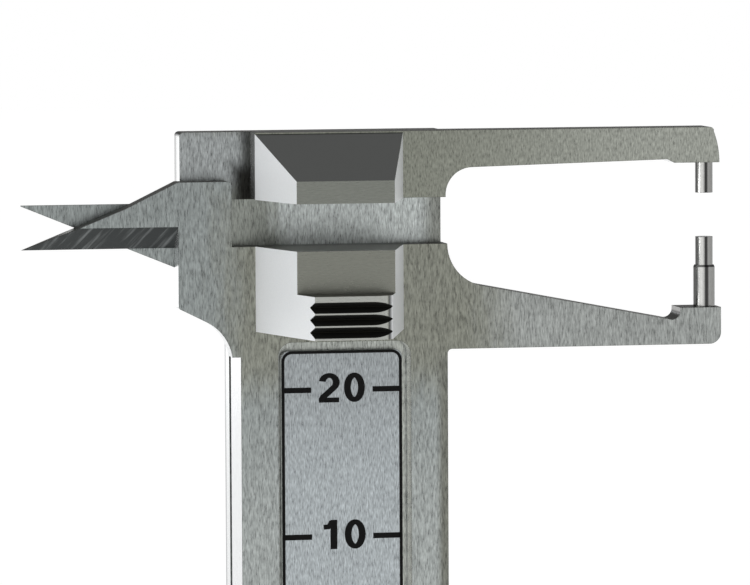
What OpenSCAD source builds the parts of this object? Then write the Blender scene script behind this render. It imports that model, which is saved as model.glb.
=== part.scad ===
// Dial gemstone gauge: a slide carries the upper jaws past a fixed body, and a rack on it turns a pointer.
// +X points along the measuring arms, +Y to the back, +Z up the stem to the jaws.
// The origin is on the flat back, behind the dial's axis. Depths count back from the front face.

/* [Travel] */
// Opening between the anvils at rest
jaw_gap = 3; // [0:0.5:20]
// Travel of the slide from closed to its stop
travel = 22; // [22:0.5:24]
// Travel of the slide for one lap of the pointer
lap_travel = 10; // [9.5:0.5:10.5]
// Gap left between the anvils when closed
anvil_gap = 0.02; // [0.01:0.01:0.05]

/* [Stem] */
// Width of the stem
stem_w = 14.2; // [13.8:0.1:16]
// Depth of the body from its front face to its flat back
body_d = 7; // [6.8:0.1:8]
// Thickness of the front wall and of the fixed jaw
front_wall = 1.8; // [1.6:0.1:2]
// Thickness of the channel's side walls
side_wall = 1.5; // [1.4:0.1:1.7]
// Clearance between the slide and the front wall
slide_gap = 0.05; // [0.03:0.01:0.08]
// Clearance at each edge of the slide
slide_side_gap = 0.1; // [0.06:0.01:0.15]
// Thickness of the slide
slide_t = 2.3; // [2.2:0.1:2.5]
// Clearance behind the slide
slide_back_gap = 0.15; // [0.1:0.01:0.2]
// Height of the open seam between the channel and the rear cover
seam = 0.8; // [0.7:0.05:0.9]
// How far the seam is set in from the stem's side
seam_in = 0.45; // [0.3:0.05:0.5]
// Outer skin of the rear cover behind its pocket
cover_skin = 0.9; // [0.7:0.1:1.1]
// Distance from the dial's axis up to the top edge of the fixed head
dial_to_cut = 72; // [68:1:80]
// Wall that closes the tail
tail_wall = 1.4; // [1:0.1:2]
// Radius of the tail's corners
tail_r = 2.5; // [1.5:0.1:3]
// How far cuts run past what they cut
overrun = 8; // [7:0.5:10]
// Radius of the small rounded edges
edge_round = 0.3; // [0.25:0.01:0.35]
// Distance from the fixed head's top edge down to the rear cover's top
cover_drop = 0.6; // [0.5:0.1:1]
// Metal of the slide below its slot
slide_foot = 1.9; // [1.7:0.1:2.2]
// Room left below the slide when closed
foot_gap = 0.6; // [0.4:0.1:1]

/* [Fixed head] */
// Reach of both crossing tips from the stem's middle
tip_reach = 21.7; // [19:0.1:24]
// Left edge of the fixed head from the stem's middle
head_left = 11.3; // [10.9:0.1:12]
// Right edge of the front jaw's block from the stem's middle
jaw_right = 7.65; // [7.3:0.05:8]
// Height of the front jaw's block above the fixed head's top edge
jaw_top = 4.4; // [4:0.1:4.4]
// Depth of the measuring edge below the fixed head's top edge
edge_drop = 0.1; // [0.05:0.01:0.2]
// Height of the ground bevel on each crossing jaw
bevel_h = 1.5; // [1:0.1:2]
// Land left at each knife edge
knife_land = 0.12; // [0.08:0.01:0.2]
// Height of the head's straight left edge
head_left_h = 4.15; // [3.8:0.05:4.4]
// Height of the fixed head from its top edge to the arm's underside
head_h = 7.16; // [7:0.02:7.6]
// Radius of the sweep from the head to the stem
sweep_r = 3.2; // [2.8:0.1:3.4]
// Direction of the sweep where it starts at the head
sweep_from = 63; // [58:1:68]
// Direction of the sweep where it ends beside the stem
sweep_to = 8; // [4:1:14]
// Step between the sweep's end and the stem's side
sweep_step = 0.57; // [0.5:0.01:0.65]
// Radius of the lower arm's outer corner
arm_corner = 0.8; // [0.6:0.1:1]

/* [Arms] */
// Reach of the arms from the stem's middle
arm_reach = 26.15; // [25.8:0.05:28]
// Distance of the anvils' axis from the arms' end
anvil_in = 0.88; // [0.85:0.01:0.95]
// Thickness of the arms
arm_t = 2.6; // [2.4:0.1:2.8]
// Radius of the lower throat
throat_r = 2.95; // [2.7:0.05:3.1]
// Slope of the lower arm's upper edge down to its boss, in degrees
lower_slope = 11.4; // [10.8:0.1:12]
// Slope of the upper arm's lower edge up to its boss, in degrees
upper_slope = 1.5; // [1:0.1:2]
// Radius of the upper throat
upper_throat_r = 1.85; // [1.6:0.05:1.9]
// Drop of the lower arm's upper edge at its boss
lower_tip_drop = 5.45; // [5.3:0.05:5.6]
// Length of each arm's anvil boss
boss_l = 2.85; // [2.7:0.05:3.2]
// Rise of the lower boss above the arm's edge
boss_rise = 0.8; // [0.6:0.05:0.9]
// Height of the moving head
moving_h = 4.52; // [4.4:0.02:4.8]
// Gap between the heads when closed
plate_gap = 0.15; // [0.1:0.01:0.2]
// Height of the upper arm at its boss
arm_tip_h = 2.17; // [2:0.01:2.2]
// Drop of the upper boss below the arm's edge
upper_boss_drop = 0.25; // [0.15:0.01:0.3]
// Rise of the upper arm's lower edge towards its boss
upper_edge_rise = 0.35; // [0.3:0.05:0.4]
// Setback of the upper arm's end below its corner
end_setback = 0.1; // [0.05:0.01:0.15]
// Radius of the upper arm's bowed end
end_r = 6; // [5:0.5:8]
// Length of the upper arm's boss
upper_boss_l = 3.25; // [3.1:0.05:3.5]
// Left edge of the moving plate from the stem's middle
moving_left = 10.9; // [10.4:0.1:10.9]
// Height of the moving jaw's root below its measuring edge
jaw_root_h = 6.7; // [6.2:0.1:6.8]

/* [Anvils] */
// Radius of both anvil pins
pin_r = 0.6; // [0.5:0.01:0.62]
// Radius of the lower anvil's sleeve
sleeve_r = 0.74; // [0.72:0.01:0.76]
// Height of the lower pin above its sleeve
pin_stand = 1.93; // [1.7:0.01:2]
// Depth to which the pins are pressed in
pin_seat = 1.7; // [1.5:0.1:1.8]
// Metal left below the anvil sleeve
sleeve_floor = 0.5; // [0.4:0.05:0.6]
// Height of the lower anvil's tip above the fixed head's top edge
tip_rise = 0.12; // [0.05:0.01:0.2]

/* [Thumb blocks] */
// Left edge of the thumb blocks from the stem's middle
block_left = 6.06; // [5.8:0.02:6.3]
// Width of the thumb blocks at their base
block_w = 10.14; // [9.6:0.02:10.2]
// How far each side of the blocks draws in at their front
block_side_in = 1.76; // [1.4:0.02:2]
// How far the blocks stand out of the front face
block_out = 6.3; // [5.5:0.1:6.6]
// Height of the moving block's front face
block_front_h = 1.5; // [1.3:0.05:1.7]
// Top rim left above the moving block's slope
block_rim = 0.1; // [0.05:0.01:0.2]
// Height of the fixed block
fixed_block_h = 5.75; // [5.65:0.05:5.85]
// Height of the fixed block's plain front
plain_h = 2.85; // [2.6:0.05:3]
// How far the grip ridges stand out of the plain front
ridge_out = 2.6; // [2.2:0.1:3]
// Number of grip grooves
groove_count = 3; // [2:1:3]
// Spacing of the grip grooves
groove_pitch = 0.83; // [0.8:0.01:0.85]
// Drop of the first groove's middle below the ridges' top
groove_first = 0.74; // [0.7:0.01:0.78]
// Length over which the ridges fade at their right end
fade_l = 1.5; // [1.2:0.1:2]
// Depth of the grip grooves
groove_d = 0.7; // [0.5:0.05:0.8]

/* [Scale window] */
// Width of the scale window
window_w = 9.1; // [8.6:0.1:9.2]
// Top of the window below the fixed head's top edge
window_top = 6.52; // [6.3:0.02:6.8]
// Length of the window
window_l = 26.5; // [26:0.1:27]
// Radius of the window's corners
window_r = 0.95; // [0.6:0.05:1.1]
// Depth of the scale plate below the front face
scale_depth = 1.15; // [1.1:0.05:1.25]
// Thickness of the scale plate
scale_t = 0.5; // [0.4:0.05:0.5]
// Gap between the scale plate and each side of the window
scale_gap = 0.4; // [0.38:0.01:0.45]
// Gap between the scale plate and the top of the window
scale_top_gap = 0.68; // [0.5:0.02:0.8]
// Length of the scale plate held below the window
scale_tail = 3; // [2.6:0.1:3.5]
// Distance of the scale plate's screws from its middle
scale_screw_x = 2.5; // [2:0.1:2.8]
// Drop of the scale's zero below the fixed head's top edge
zero_drop = 29.87; // [29.6:0.01:30.1]
// Height of the index cursor
cursor_h = 0.5; // [0.4:0.05:0.6]
// Thickness of the index cursor
cursor_t = 0.25; // [0.2:0.01:0.3]
// Clearance of the index cursor round the scale plate
cursor_gap = 0.1; // [0.08:0.01:0.12]
// Depth of the cursor's legs in the slide
leg_seat = 0.6; // [0.5:0.05:0.8]

/* [Dial] */
// Outer radius of the housing's wall
housing_r = 19.2; // [18.8:0.1:20]
// Thickness of the housing's wall
housing_wall = 1.2; // [1:0.1:1.4]
// Thickness of the housing's floor
floor_t = 0.8; // [0.7:0.05:0.9]
// Height of the housing's wall
housing_h = 4.2; // [4:0.1:4.5]
// Height of the housing's base flange
base_h = 1.6; // [1.5:0.05:1.7]
// Width of the base flange
base_w = 1.6; // [1.4:0.1:2]
// Running clearance of the bezel
bezel_gap = 0.05; // [0.03:0.01:0.08]
// Thickness of the bezel's wall
bezel_wall = 1.35; // [1.2:0.05:1.5]
// Depth of the grip serrations round the bezel
serration_d = 0.3; // [0.2:0.05:0.4]
// Number of grip serrations round the bezel
serrations = 72; // [48:4:96]
// Width of the bezel's rim
rim_w = 2.35; // [2.2:0.05:2.6]
// Thickness of the bezel's rim
rim_t = 0.85; // [0.7:0.05:1]
// Thickness of the dial face
dial_t = 0.4; // [0.3:0.05:0.5]
// Height of the ring between the dial face and the crystal
ring_h = 1.65; // [1.5:0.05:1.9]
// Thickness of the crystal at its edge
crystal_t = 0.8; // [0.6:0.1:1]
// Rise of the crystal's dome
dome_h = 0.5; // [0.3:0.1:0.6]
// Height of the bezel's front lip
lip_h = 0.7; // [0.6:0.05:0.9]
// Width of the bezel's lip over the crystal
lip_w = 1.1; // [0.8:0.1:1.3]
// Radius of the wire that holds the bezel
wire_r = 0.22; // [0.18:0.01:0.24]
// Direction of the bezel's clamp, counted up from +X
clamp_angle = -35; // [-50:5:-25]
// Thickness of the clamp's finger
finger_t = 0.8; // [0.6:0.1:1]

/* [Movement] */
// Number of teeth on the pinion
pinion_teeth = 16; // [16:1:18]
// Teeth on the take-up wheel for each tooth on the pinion
wheel_ratio = 3; // [3:1:3]
// Height of a tooth outside its pitch line
addendum = 0.15; // [0.12:0.01:0.16]
// Depth of a tooth inside its pitch line
dedendum = 0.2; // [0.19:0.01:0.22]
// Play between meshing teeth
backlash = 0.08; // [0.06:0.01:0.1]
// Radius of the pinion's journal
journal_r = 0.75; // [0.6:0.05:0.8]
// Radius of the pinion's rear pivot
pivot_r = 0.45; // [0.35:0.05:0.5]
// Running clearance of the small bearings
bearing_gap = 0.03; // [0.02:0.01:0.05]
// Outer radius of the front bush
bush_r = 2.2; // [2:0.05:2.4]
// Outer radius of the rear bush
rear_bush_r = 1.1; // [0.9:0.05:1.3]
// Thickness of the movement's bridge
bridge_t = 0.75; // [0.6:0.05:0.78]
// Half the length of the bridge
bridge_l = 4.6; // [4.4:0.1:5]
// Radius of the stop pin in the slide's slot
stop_r = 0.5; // [0.4:0.05:0.6]
// Drop of the stop pin below the dial's axis
stop_drop = 4.4; // [4:0.1:4.8]
// Width of the slide's slot right of the axis
slot_right = 2.6; // [2.4:0.1:3]
// Width of the rack's toothed bar behind its teeth
rack_bar = 1.2; // [1:0.1:1.3]
// Width of the rack's flange on the slide
rack_flange = 1.3; // [1.2:0.05:1.4]
// Thickness of the rack's flange
rack_flange_t = 0.9; // [0.8:0.05:1]
// Thickness of the take-up wheel
wheel_t = 0.5; // [0.4:0.05:0.6]
// Radius of the take-up wheel's post
post_r = 0.5; // [0.4:0.05:0.6]
// Radius of the hairspring's stud
stud_r = 0.3; // [0.25:0.05:0.35]
// Turns of the hairspring
spring_turns = 4.5; // [3.5:0.5:4.5]
// Thickness of the hairspring's strip
spring_t = 0.1; // [0.08:0.01:0.14]
// Length of the pointer
pointer_l = 15.4; // [13:0.1:16]
// Length of the pointer's tail
pointer_tail = 4; // [3:0.1:5]
// Half the pointer's width at its hub
pointer_half = 0.55; // [0.45:0.05:0.65]
// Thickness of the pointer
pointer_t = 0.2; // [0.15:0.01:0.25]
// Height of the pointer above the dial face
pointer_rise = 0.35; // [0.3:0.05:0.4]
// Radius of the pointer's seat on the arbor
seat_r = 0.35; // [0.3:0.01:0.4]

/* [Gib and screws] */
// Length of the gib spring's pocket
gib_l = 20; // [18:1:22]
// Middle of the gib spring above the dial's axis
gib_z = 32; // [30:1:40]
// Thickness of the gib spring
gib_t = 0.2; // [0.15:0.01:0.25]
// Depth of the gib spring's pocket in the side wall
gib_pocket = 0.55; // [0.5:0.05:0.6]
// Radius of the gib's set screws
set_r = 0.6; // [0.5:0.05:0.7]
// Thread radius of the small screws
small_r = 0.4; // [0.35:0.01:0.42]
// Length of thread that the screws have in what they hold to
screw_hold = 1.6; // [1.4:0.1:1.8]
// Metal left in front of the arm's screws
screw_end = 0.3; // [0.2:0.05:0.4]
// Distance of the housing's screws above and below the dial's axis
housing_screw_z = 8.6; // [8:0.1:9.5]
// Head radius of the small screws
small_head_r = 0.7; // [0.65:0.05:0.75]
// Thread radius of the block and housing screws
screw_r = 0.6; // [0.5:0.05:0.7]
// Head radius of the block and housing screws
screw_head_r = 1.2; // [1.1:0.05:1.3]
// Width of the screwdriver slots
slot_w = 0.25; // [0.2:0.05:0.3]
// Depth of the screwdriver slots
slot_d = 0.25; // [0.2:0.05:0.3]
// Radius of the clamp screw's thread
clamp_r = 0.8; // [0.7:0.05:0.9]
// Radius of the clamp screw's head
clamp_head_r = 2; // [1.8:0.1:2.2]
// Height of the clamp screw's head
clamp_head_h = 2.3; // [2:0.1:2.6]

/* [Hidden] */
$fn = 64;
steel = [0.62, 0.63, 0.62];
pin_steel = [0.8, 0.8, 0.8];
spring_steel = [0.6, 0.6, 0.62];
dark_steel = [0.42, 0.43, 0.42];
brass = [0.78, 0.66, 0.38];
white_paint = [0.93, 0.93, 0.91];
black_paint = [0.08, 0.08, 0.08];
anvil_x = arm_reach - anvil_in;
arc_steps = 12;
half_stem = stem_w / 2;
head_z = dial_to_cut;
measure_z = head_z - edge_drop;
slide_front = front_wall + slide_gap;
slide_back = slide_front + slide_t;
channel_d = slide_back + slide_back_gap;
cover_front = channel_d + seam;
channel_x = half_stem - side_wall;
slide_x = channel_x - slide_side_gap;
stem_top = head_z - head_h;
wall_top_share = 0.03;
groove_share = 0.84;
serration_shares = [[0, 1], [0.2, 0], [0.6, 0], [0.8, 1]];
spoke_place_share = 0.58;
spoke_hole_share = 0.22;
clamp_grips = 24;
spring_steps = 24;
groove_floor_share = 0.04;
jaw_mid_share = 0.338;
jaw_high_share = 0.61;
wall_top = stem_top - wall_top_share * head_h;
bezel_in = housing_r + bezel_gap;
bezel_out = bezel_in + bezel_wall;
rim_r = bezel_in + rim_w;
rim_front = base_h + bezel_gap;
dial_back = housing_h + bezel_gap;
dial_front = dial_back + dial_t;
crystal_back = dial_front + ring_h;
lip_back = crystal_back + crystal_t;
bezel_front = lip_back + lip_h;
tooth_pitch = lap_travel / pinion_teeth;
pinion_pitch_r = lap_travel / 2 / PI;
wheel_teeth = pinion_teeth * wheel_ratio;
wheel_pitch_r = pinion_pitch_r * wheel_ratio;
wheel_x = pinion_pitch_r + wheel_pitch_r;
pinion_tip_r = pinion_pitch_r + addendum;
pressure = 20;
pinion_turn = 360 * jaw_gap / lap_travel;
slot_bottom = -stop_drop - stop_r - slide_side_gap - travel;
slot_top = 1.5 * pinion_tip_r;
slide_bottom = slot_bottom - slide_foot;
tail_bottom = slide_bottom - foot_gap - tail_wall;
window_z = head_z - window_top;
window_low = window_z - window_l;
scale_x = window_w / 2 - scale_gap;
scale_low = window_low - scale_tail;
scale_screw_z = scale_low + scale_tail / 2;
low_head_r = small_head_r - slot_w / 2;
cursor_x = window_w / 2 - cursor_gap;
cursor_front = scale_depth - cursor_gap / 2 - cursor_t;
scale_back = scale_depth + scale_t;
boss_x = arm_reach - boss_l;
pin_depth = arm_t / 2;
tooth_root_x = -pinion_pitch_r - dedendum;
rack_bar_x = tooth_root_x - rack_bar;
rack_flange_x = rack_bar_x - rack_flange;
rack_screw_x = rack_bar_x - rack_flange / 2;

// Points along a round stretch of an outline
function arc(centre, r, from, to) =
    [for (i = [0:arc_steps]) let (a = from + (to - from) * i / arc_steps) centre + r * [cos(a), sin(a)]];

// Outline of a rectangle with round corners
function round_rect(left, low, right, high, r) = concat(
    arc([right - r, low + r], r, -90, 0), arc([right - r, high - r], r, 0, 90),
    arc([left + r, high - r], r, 90, 180), arc([left + r, low + r], r, 180, 270));

// A flat piece between two depths, drawn as seen from the front
module plate(front, back) {
    translate([0, back - body_d, 0]) rotate([90, 0, 0]) linear_extrude(back - front) children();
}

// A bar along X, drawn in depth and height
module bar(left, right) {
    translate([left, -body_d, 0]) rotate([90, 0, 90]) linear_extrude(right - left) children();
}

// A bar along Z, drawn in X and depth
module column(low, high) {
    translate([0, -body_d, low]) linear_extrude(high - low) children();
}

// A round rod from front to back
module rod(x, z, r, front, back) {
    translate([x, front - body_d, z]) rotate([-90, 0, 0]) cylinder(r = r, h = back - front);
}

// A round rod standing along Z
module upright(x, depth, r, low, high) {
    translate([x, depth - body_d, low]) cylinder(r = r, h = high - low);
}

// A piece turned about the dial's axis, drawn in radius and height in front of the stem
module turned() {
    translate([0, -body_d, 0]) rotate([90, 0, 0]) rotate_extrude($fn = 96) children();
}

// The moving pieces are drawn closed and lifted by the opening
module lifted() {
    translate([0, 0, jaw_gap]) children();
}

// Outline of a toothed wheel
module gear_outline(teeth, pitch_r, turn) {
    step = 360 / teeth;
    half = (tooth_pitch / 2 - backlash / 2) / 2;
    tip = half - addendum * tan(pressure);
    root = half + dedendum * tan(pressure);
    outer = pitch_r + addendum;
    inner = pitch_r - dedendum;
    polygon([for (i = [0:teeth - 1], p = [[inner, -root], [outer, -tip], [outer, tip], [inner, root]])
        let (a = turn + i * step + p[1] / p[0] * 180 / PI) p[0] * [cos(a), sin(a)]]);
}

// A shape turned about a screw's axis, drawn in radius and height from the plane at the given depth
module spun(x, z, depth) {
    translate([x, depth - body_d, z]) rotate([-90, 0, 0]) rotate_extrude() children();
}

// Screws let in flush at their back face, with the thread running forwards
screw_cone_share = 0.9;
module flush_screw(x, z, thread, head, back, tip) {
    sink = (head - thread) * screw_cone_share;
    difference() {
        spun(x, z, back) polygon([[0, tip - back], [thread, tip - back], [thread, -sink], [head, 0], [0, 0]]);
        translate([x - overrun / 2, back - slot_d - body_d, z - slot_w / 2])
            cube([overrun, overrun, slot_w]);
    }
}

// The hole that a flush screw fills
module flush_hole(x, z, thread, head, back, tip) {
    sink = (head - thread) * screw_cone_share;
    spun(x, z, back) polygon([
        [0, tip - back], [thread, tip - back], [thread, -sink], [head, 0], [head, overrun], [0, overrun]]);
}

block_mid = block_w / 2 - block_left;
block_screw_x = [block_mid - block_w / 4, block_mid + block_w / 4];
fixed_screw_z = head_z - fixed_block_h / 2;
moving_screw_z = head_z + plate_gap + moving_h / 2;
arm_right_share = 0.79;
arm_screw_places = [[arm_right_share * half_stem, moving_screw_z], [block_mid, moving_screw_z]];
housing_screw_x = half_stem - side_wall - screw_head_r * 0.5;
small_x = half_stem - side_wall / 2 - (small_head_r - small_r) / 2;
cover_screw_z = [tail_bottom + 3 * tail_wall, -2.4 * bridge_l, gib_z - 0.65 * gib_l,
    window_z - window_l / 2, stem_top - tail_r];
bridge_screw_z = bridge_l - 1.5 * small_head_r;
rack_top = slot_top - edge_round;
rack_bottom = slot_bottom + edge_round;
rack_screw_z = [rack_bottom + rack_flange, (rack_bottom + rack_top) / 2, rack_top - rack_flange];

// Outline of the fixed head, both arms' partner and the front of the stem
module body_outline() {
    top = head_z;
    left = -head_left;
    jaw_mid_x = head_left + jaw_mid_share * (tip_reach - head_left);
    sweep_low = top - head_h - edge_round;
    sweep_centre = [-half_stem - sweep_step, sweep_low] - sweep_r * [cos(sweep_to), sin(sweep_to)];
    throat = [half_stem + throat_r, top];
    arm_top_end = [boss_x - edge_round * 2, top - lower_tip_drop];
    boss_top = top - lower_tip_drop + boss_rise;
    low = top - head_h;
    fillet = edge_round;
    polygon(concat(
        [[-tip_reach, measure_z], [left, measure_z], [left, top - head_left_h + edge_round / 3],
            [left + edge_round / 3, top - head_left_h]],
        arc(sweep_centre, sweep_r, sweep_from, sweep_to),
        [[-half_stem, sweep_low], [-half_stem, tail_bottom + tail_r]],
        arc([tail_r - half_stem, tail_bottom + tail_r], tail_r, 180, 270),
        arc([half_stem - tail_r, tail_bottom + tail_r], tail_r, 270, 360),
        arc([half_stem + fillet, low - fillet], fillet, 180, 90),
        arc([arm_reach - arm_corner, low + arm_corner], arm_corner, 270, 360),
        [[arm_reach, boss_top], [boss_x, boss_top]],
        arc([boss_x - edge_round * 2, arm_top_end[1] + edge_round * 2], edge_round * 2, 0, -90),
        arc(throat, throat_r, 270 - lower_slope, 180),
        [[half_stem, top], [-jaw_right, top]],
        arc([-jaw_right - edge_round, top + jaw_top - edge_round], edge_round, 0, 90),
        [[left, top + jaw_top], [-jaw_mid_x, top + jaw_high_share * jaw_top]]));
}

module front_body() {
    left = -head_left;
    color(steel) difference() {
        union() {
            plate(0, front_wall) body_outline();
            // The lower arm is thicker than the front wall
            plate(0, arm_t) intersection() {
                body_outline();
                translate([half_stem, head_z - head_h]) square([arm_reach, head_h]);
            }
            // Side walls and tail wall of the channel
            plate(front_wall / 2, channel_d) difference() {
                polygon(concat(
                    arc([tail_r - half_stem, tail_bottom + tail_r], tail_r, 180, 270),
                    arc([half_stem - tail_r, tail_bottom + tail_r], tail_r, 270, 360),
                    [[half_stem, wall_top], [-half_stem, wall_top]]));
                translate([-channel_x, tail_bottom + tail_wall])
                    square([2 * channel_x, wall_top - tail_bottom]);
            }
        }
        // Ground bevel down to the front jaw's knife edge
        bar(-tip_reach - overrun, left) polygon([
            [-overrun, measure_z - overrun], [front_wall - knife_land, measure_z - overrun],
            [front_wall - knife_land, measure_z], [0, measure_z + bevel_h],
            [-overrun, measure_z + bevel_h]]);
        // Scale window and the seat of the scale plate's tail
        plate(-overrun, overrun)
            polygon(round_rect(-window_w / 2, window_low, window_w / 2, window_z, window_r));
        plate(scale_depth, front_wall + slide_gap)
            translate([-scale_x, scale_low]) square([2 * scale_x, scale_tail + window_r]);
        for (side = [-1, 1])
            rod(side * scale_screw_x, scale_screw_z, small_r, screw_end, overrun);
        // Bore for the front bush and holes for the stop pin and the housing screws
        rod(0, 0, bush_r, -overrun, overrun);
        rod(0, -stop_drop, stop_r, -overrun, overrun);
        for (side = [-1, 1], end = [-1, 1])
            rod(side * housing_screw_x, end * housing_screw_z, screw_r, -overrun, front_wall + slide_gap);
        for (x = block_screw_x)
            flush_hole(x, fixed_screw_z, screw_r, screw_head_r, front_wall, -overrun);
        upright(anvil_x, pin_depth, sleeve_r, sleeve_low, head_z);
        // Holes in the walls for the cover and bridge screws
        for (side = [-1, 1], z = cover_screw_z)
            rod(side * small_x, z, small_r, channel_d - screw_hold, channel_d + overrun);
        for (side = [-1, 1], end = [-1, 1])
            rod(side * small_x, end * bridge_screw_z, small_r, channel_d - screw_hold, channel_d + overrun);
        // Pocket and screw holes for the gib spring
        translate([channel_x - edge_round, gib_low - body_d, gib_z - gib_l / 2])
            cube([gib_pocket + edge_round, gib_high - gib_low, gib_l]);
        for (z = gib_screw_z)
            translate([channel_x, gib_mid - body_d, z]) rotate([0, 90, 0]) cylinder(r = set_r, h = overrun);
    }
}

sleeve_low = head_z - head_h + sleeve_floor;
gib_low = slide_front + edge_round;
gib_high = slide_back - edge_round;
gib_mid = (gib_low + gib_high) / 2;
gib_screw_z = [gib_z - gib_l / 4, gib_z + gib_l / 4];

// Outline of the pocket inside the rear cover
module cover_pocket() {
    half = channel_x + edge_round / 3;
    low = tail_bottom + tail_wall;
    translate([-half, low]) square([2 * half, head_z - cover_drop - tail_wall - low]);
}

module rear_cover() {
    top = head_z - cover_drop;
    lip_out = half_stem - seam_in;
    color(steel) difference() {
        union() {
            plate(cover_front, body_d) polygon(concat(
                arc([tail_r - half_stem, tail_bottom + tail_r], tail_r, 180, 270),
                arc([half_stem - tail_r, tail_bottom + tail_r], tail_r, 270, 360),
                arc([half_stem - edge_round, top - edge_round], edge_round, 0, 90),
                arc([edge_round - half_stem, top - edge_round], edge_round, 90, 180)));
            // Lips that stand on the channel's walls and leave the seam
            plate(channel_d, cover_front + cover_skin / 2) difference() {
                polygon(round_rect(
                    -lip_out, tail_bottom + seam_in, lip_out, top - seam_in, tail_r - seam_in));
                cover_pocket();
                translate([-half_stem, -bridge_l - slide_side_gap])
                    square([stem_w, 2 * (bridge_l + slide_side_gap)]);
            }
        }
        plate(channel_d, body_d - cover_skin) cover_pocket();
        for (side = [-1, 1], z = cover_screw_z)
            flush_hole(side * small_x, z, small_r, small_head_r, body_d, 0);
    }
}

module cover_screws() {
    color(dark_steel) for (side = [-1, 1], z = cover_screw_z)
        flush_screw(side * small_x, z, small_r, small_head_r, body_d, channel_d - screw_hold);
}

module scale_plate() {
    color([0.66, 0.68, 0.7]) difference() {
        plate(scale_depth, scale_back)
            polygon(round_rect(-scale_x, scale_low, scale_x, window_z - scale_top_gap, window_r / 2));
        for (side = [-1, 1])
            flush_hole(side * scale_screw_x, scale_screw_z, small_r, low_head_r, scale_back, 0);
    }
}

module scale_screws() {
    color(dark_steel) for (side = [-1, 1])
        flush_screw(side * scale_screw_x, scale_screw_z, small_r, low_head_r, scale_back, screw_end);
}

// The blocks' common cross-section, drawn in X and depth
module block_section(out) {
    slant = block_side_in / block_out * out;
    polygon([[-block_left, 0], [-block_left + slant, -out],
        [block_w - block_left - slant, -out], [block_w - block_left, 0]]);
}

module fixed_thumb_block() {
    high = head_z;
    low = high - fixed_block_h;
    out = block_out + ridge_out;
    ridge_top = high - plain_h;
    slope = block_side_in / block_out;
    fade_d = groove_d + edge_round / 6;
    right = block_w - block_left - slope * (out - fade_d);
    mouth = groove_share * groove_pitch;
    fade_r = (fade_l * fade_l + fade_d * fade_d) / (2 * fade_d);
    color(steel) difference() {
        column(low, high) block_section(out);
        // Plain front, set back from the ridges
        column(ridge_top, high + overrun) translate([-block_w, -block_out - overrun])
            square([2 * block_w, overrun]);
        // The ridges' front falls away at the right, past the depth of the grooves
        column(low - overrun, ridge_top) polygon(concat(
            arc([right - fade_l, fade_r - out], fade_r, -90, asin(fade_l / fade_r) - 90),
            [[right + overrun, fade_d - out], [right + overrun, -out - overrun],
                [right - fade_l, -out - overrun]]));
        // Grip grooves
        for (i = [0:groove_count - 1]) {
            mid = ridge_top - groove_first - i * groove_pitch;
            floor = mouth * groove_floor_share;
            bar(-block_left - overrun, block_w) polygon([
                [-out - groove_d, mid - mouth], [-out - groove_d, mid + mouth],
                [groove_d - out, mid + floor], [groove_d - out, mid - floor]]);
        }
        for (x = block_screw_x)
            rod(x, fixed_screw_z, screw_r, -screw_hold, overrun);
    }
}

module fixed_block_screws() {
    color(dark_steel) for (x = block_screw_x)
        flush_screw(x, fixed_screw_z, screw_r, screw_head_r, front_wall, -screw_hold);
}

anvil_tip_z = head_z + tip_rise;

module fixed_anvil_sleeve() {
    top = anvil_tip_z - pin_stand;
    color(pin_steel) difference() {
        union() {
            upright(anvil_x, pin_depth, sleeve_r, sleeve_low, top - (sleeve_r - pin_r));
            translate([anvil_x, pin_depth - body_d, top - (sleeve_r - pin_r)])
                cylinder(r1 = sleeve_r, r2 = (sleeve_r + pin_r) / 2, h = sleeve_r - pin_r);
        }
        upright(anvil_x, pin_depth, pin_r, top - pin_seat * 2, top + overrun);
    }
}

module fixed_anvil_pin() {
    color(pin_steel)
        upright(anvil_x, pin_depth, pin_r, anvil_tip_z - pin_stand - pin_seat * 2, anvil_tip_z);
}

lug_r = rim_r + clamp_head_r;
lug_end = lug_r + 1.6 * clamp_r;
lug_half = clamp_head_r + edge_round;

module dial_housing() {
    wire_half = wire_r + edge_round / 6;
    color(steel) difference() {
        union() {
            turned() difference() {
                polygon([[bush_r + edge_round, 0], [housing_r + base_w, 0], [housing_r + base_w, base_h],
                    [housing_r, base_h], [housing_r, housing_h], [housing_r - housing_wall, housing_h],
                    [housing_r - housing_wall, floor_t], [bush_r + edge_round, floor_t]]);
                translate([housing_r - wire_r, wire_f - wire_half]) square([overrun, 2 * wire_half]);
            }
            // Lug for the bezel's clamp
            rotate([0, -clamp_angle, 0]) plate(-base_h, 0)
                translate([housing_r, -lug_half]) square([lug_end - housing_r, 2 * lug_half]);
        }
        for (side = [-1, 1], end = [-1, 1])
            rod(side * housing_screw_x, end * housing_screw_z, screw_r, -overrun, overrun);
        rod(wheel_x, 0, post_r, -overrun, overrun);
        rod(stud_x, 0, stud_r, -overrun, overrun);
        rotate([0, -clamp_angle, 0]) rod(lug_r, 0, clamp_r + slide_gap, -overrun, overrun);
    }
}

wire_f = rim_front + rim_t + wire_r + edge_round;
stud_x = wheel_x + wheel_pitch_r + addendum + 2.2 * stud_r;

module housing_screws() {
    head = 2.8 * slot_d;
    color(dark_steel) for (side = [-1, 1], end = [-1, 1]) difference() {
        union() {
            rod(side * housing_screw_x, end * housing_screw_z, screw_r, -floor_t, front_wall - slot_d / 2);
            rod(side * housing_screw_x, end * housing_screw_z, screw_head_r, -floor_t - head, -floor_t);
        }
        translate([side * housing_screw_x - overrun / 2, slot_d - floor_t - head - overrun - body_d,
            end * housing_screw_z - slot_w / 2])
            cube([overrun, overrun, slot_w]);
    }
}

module front_bush() {
    color(brass) difference() {
        rod(0, 0, bush_r, -floor_t / 2, front_wall);
        rod(0, 0, journal_r + bearing_gap, -overrun, overrun);
    }
}

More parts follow.
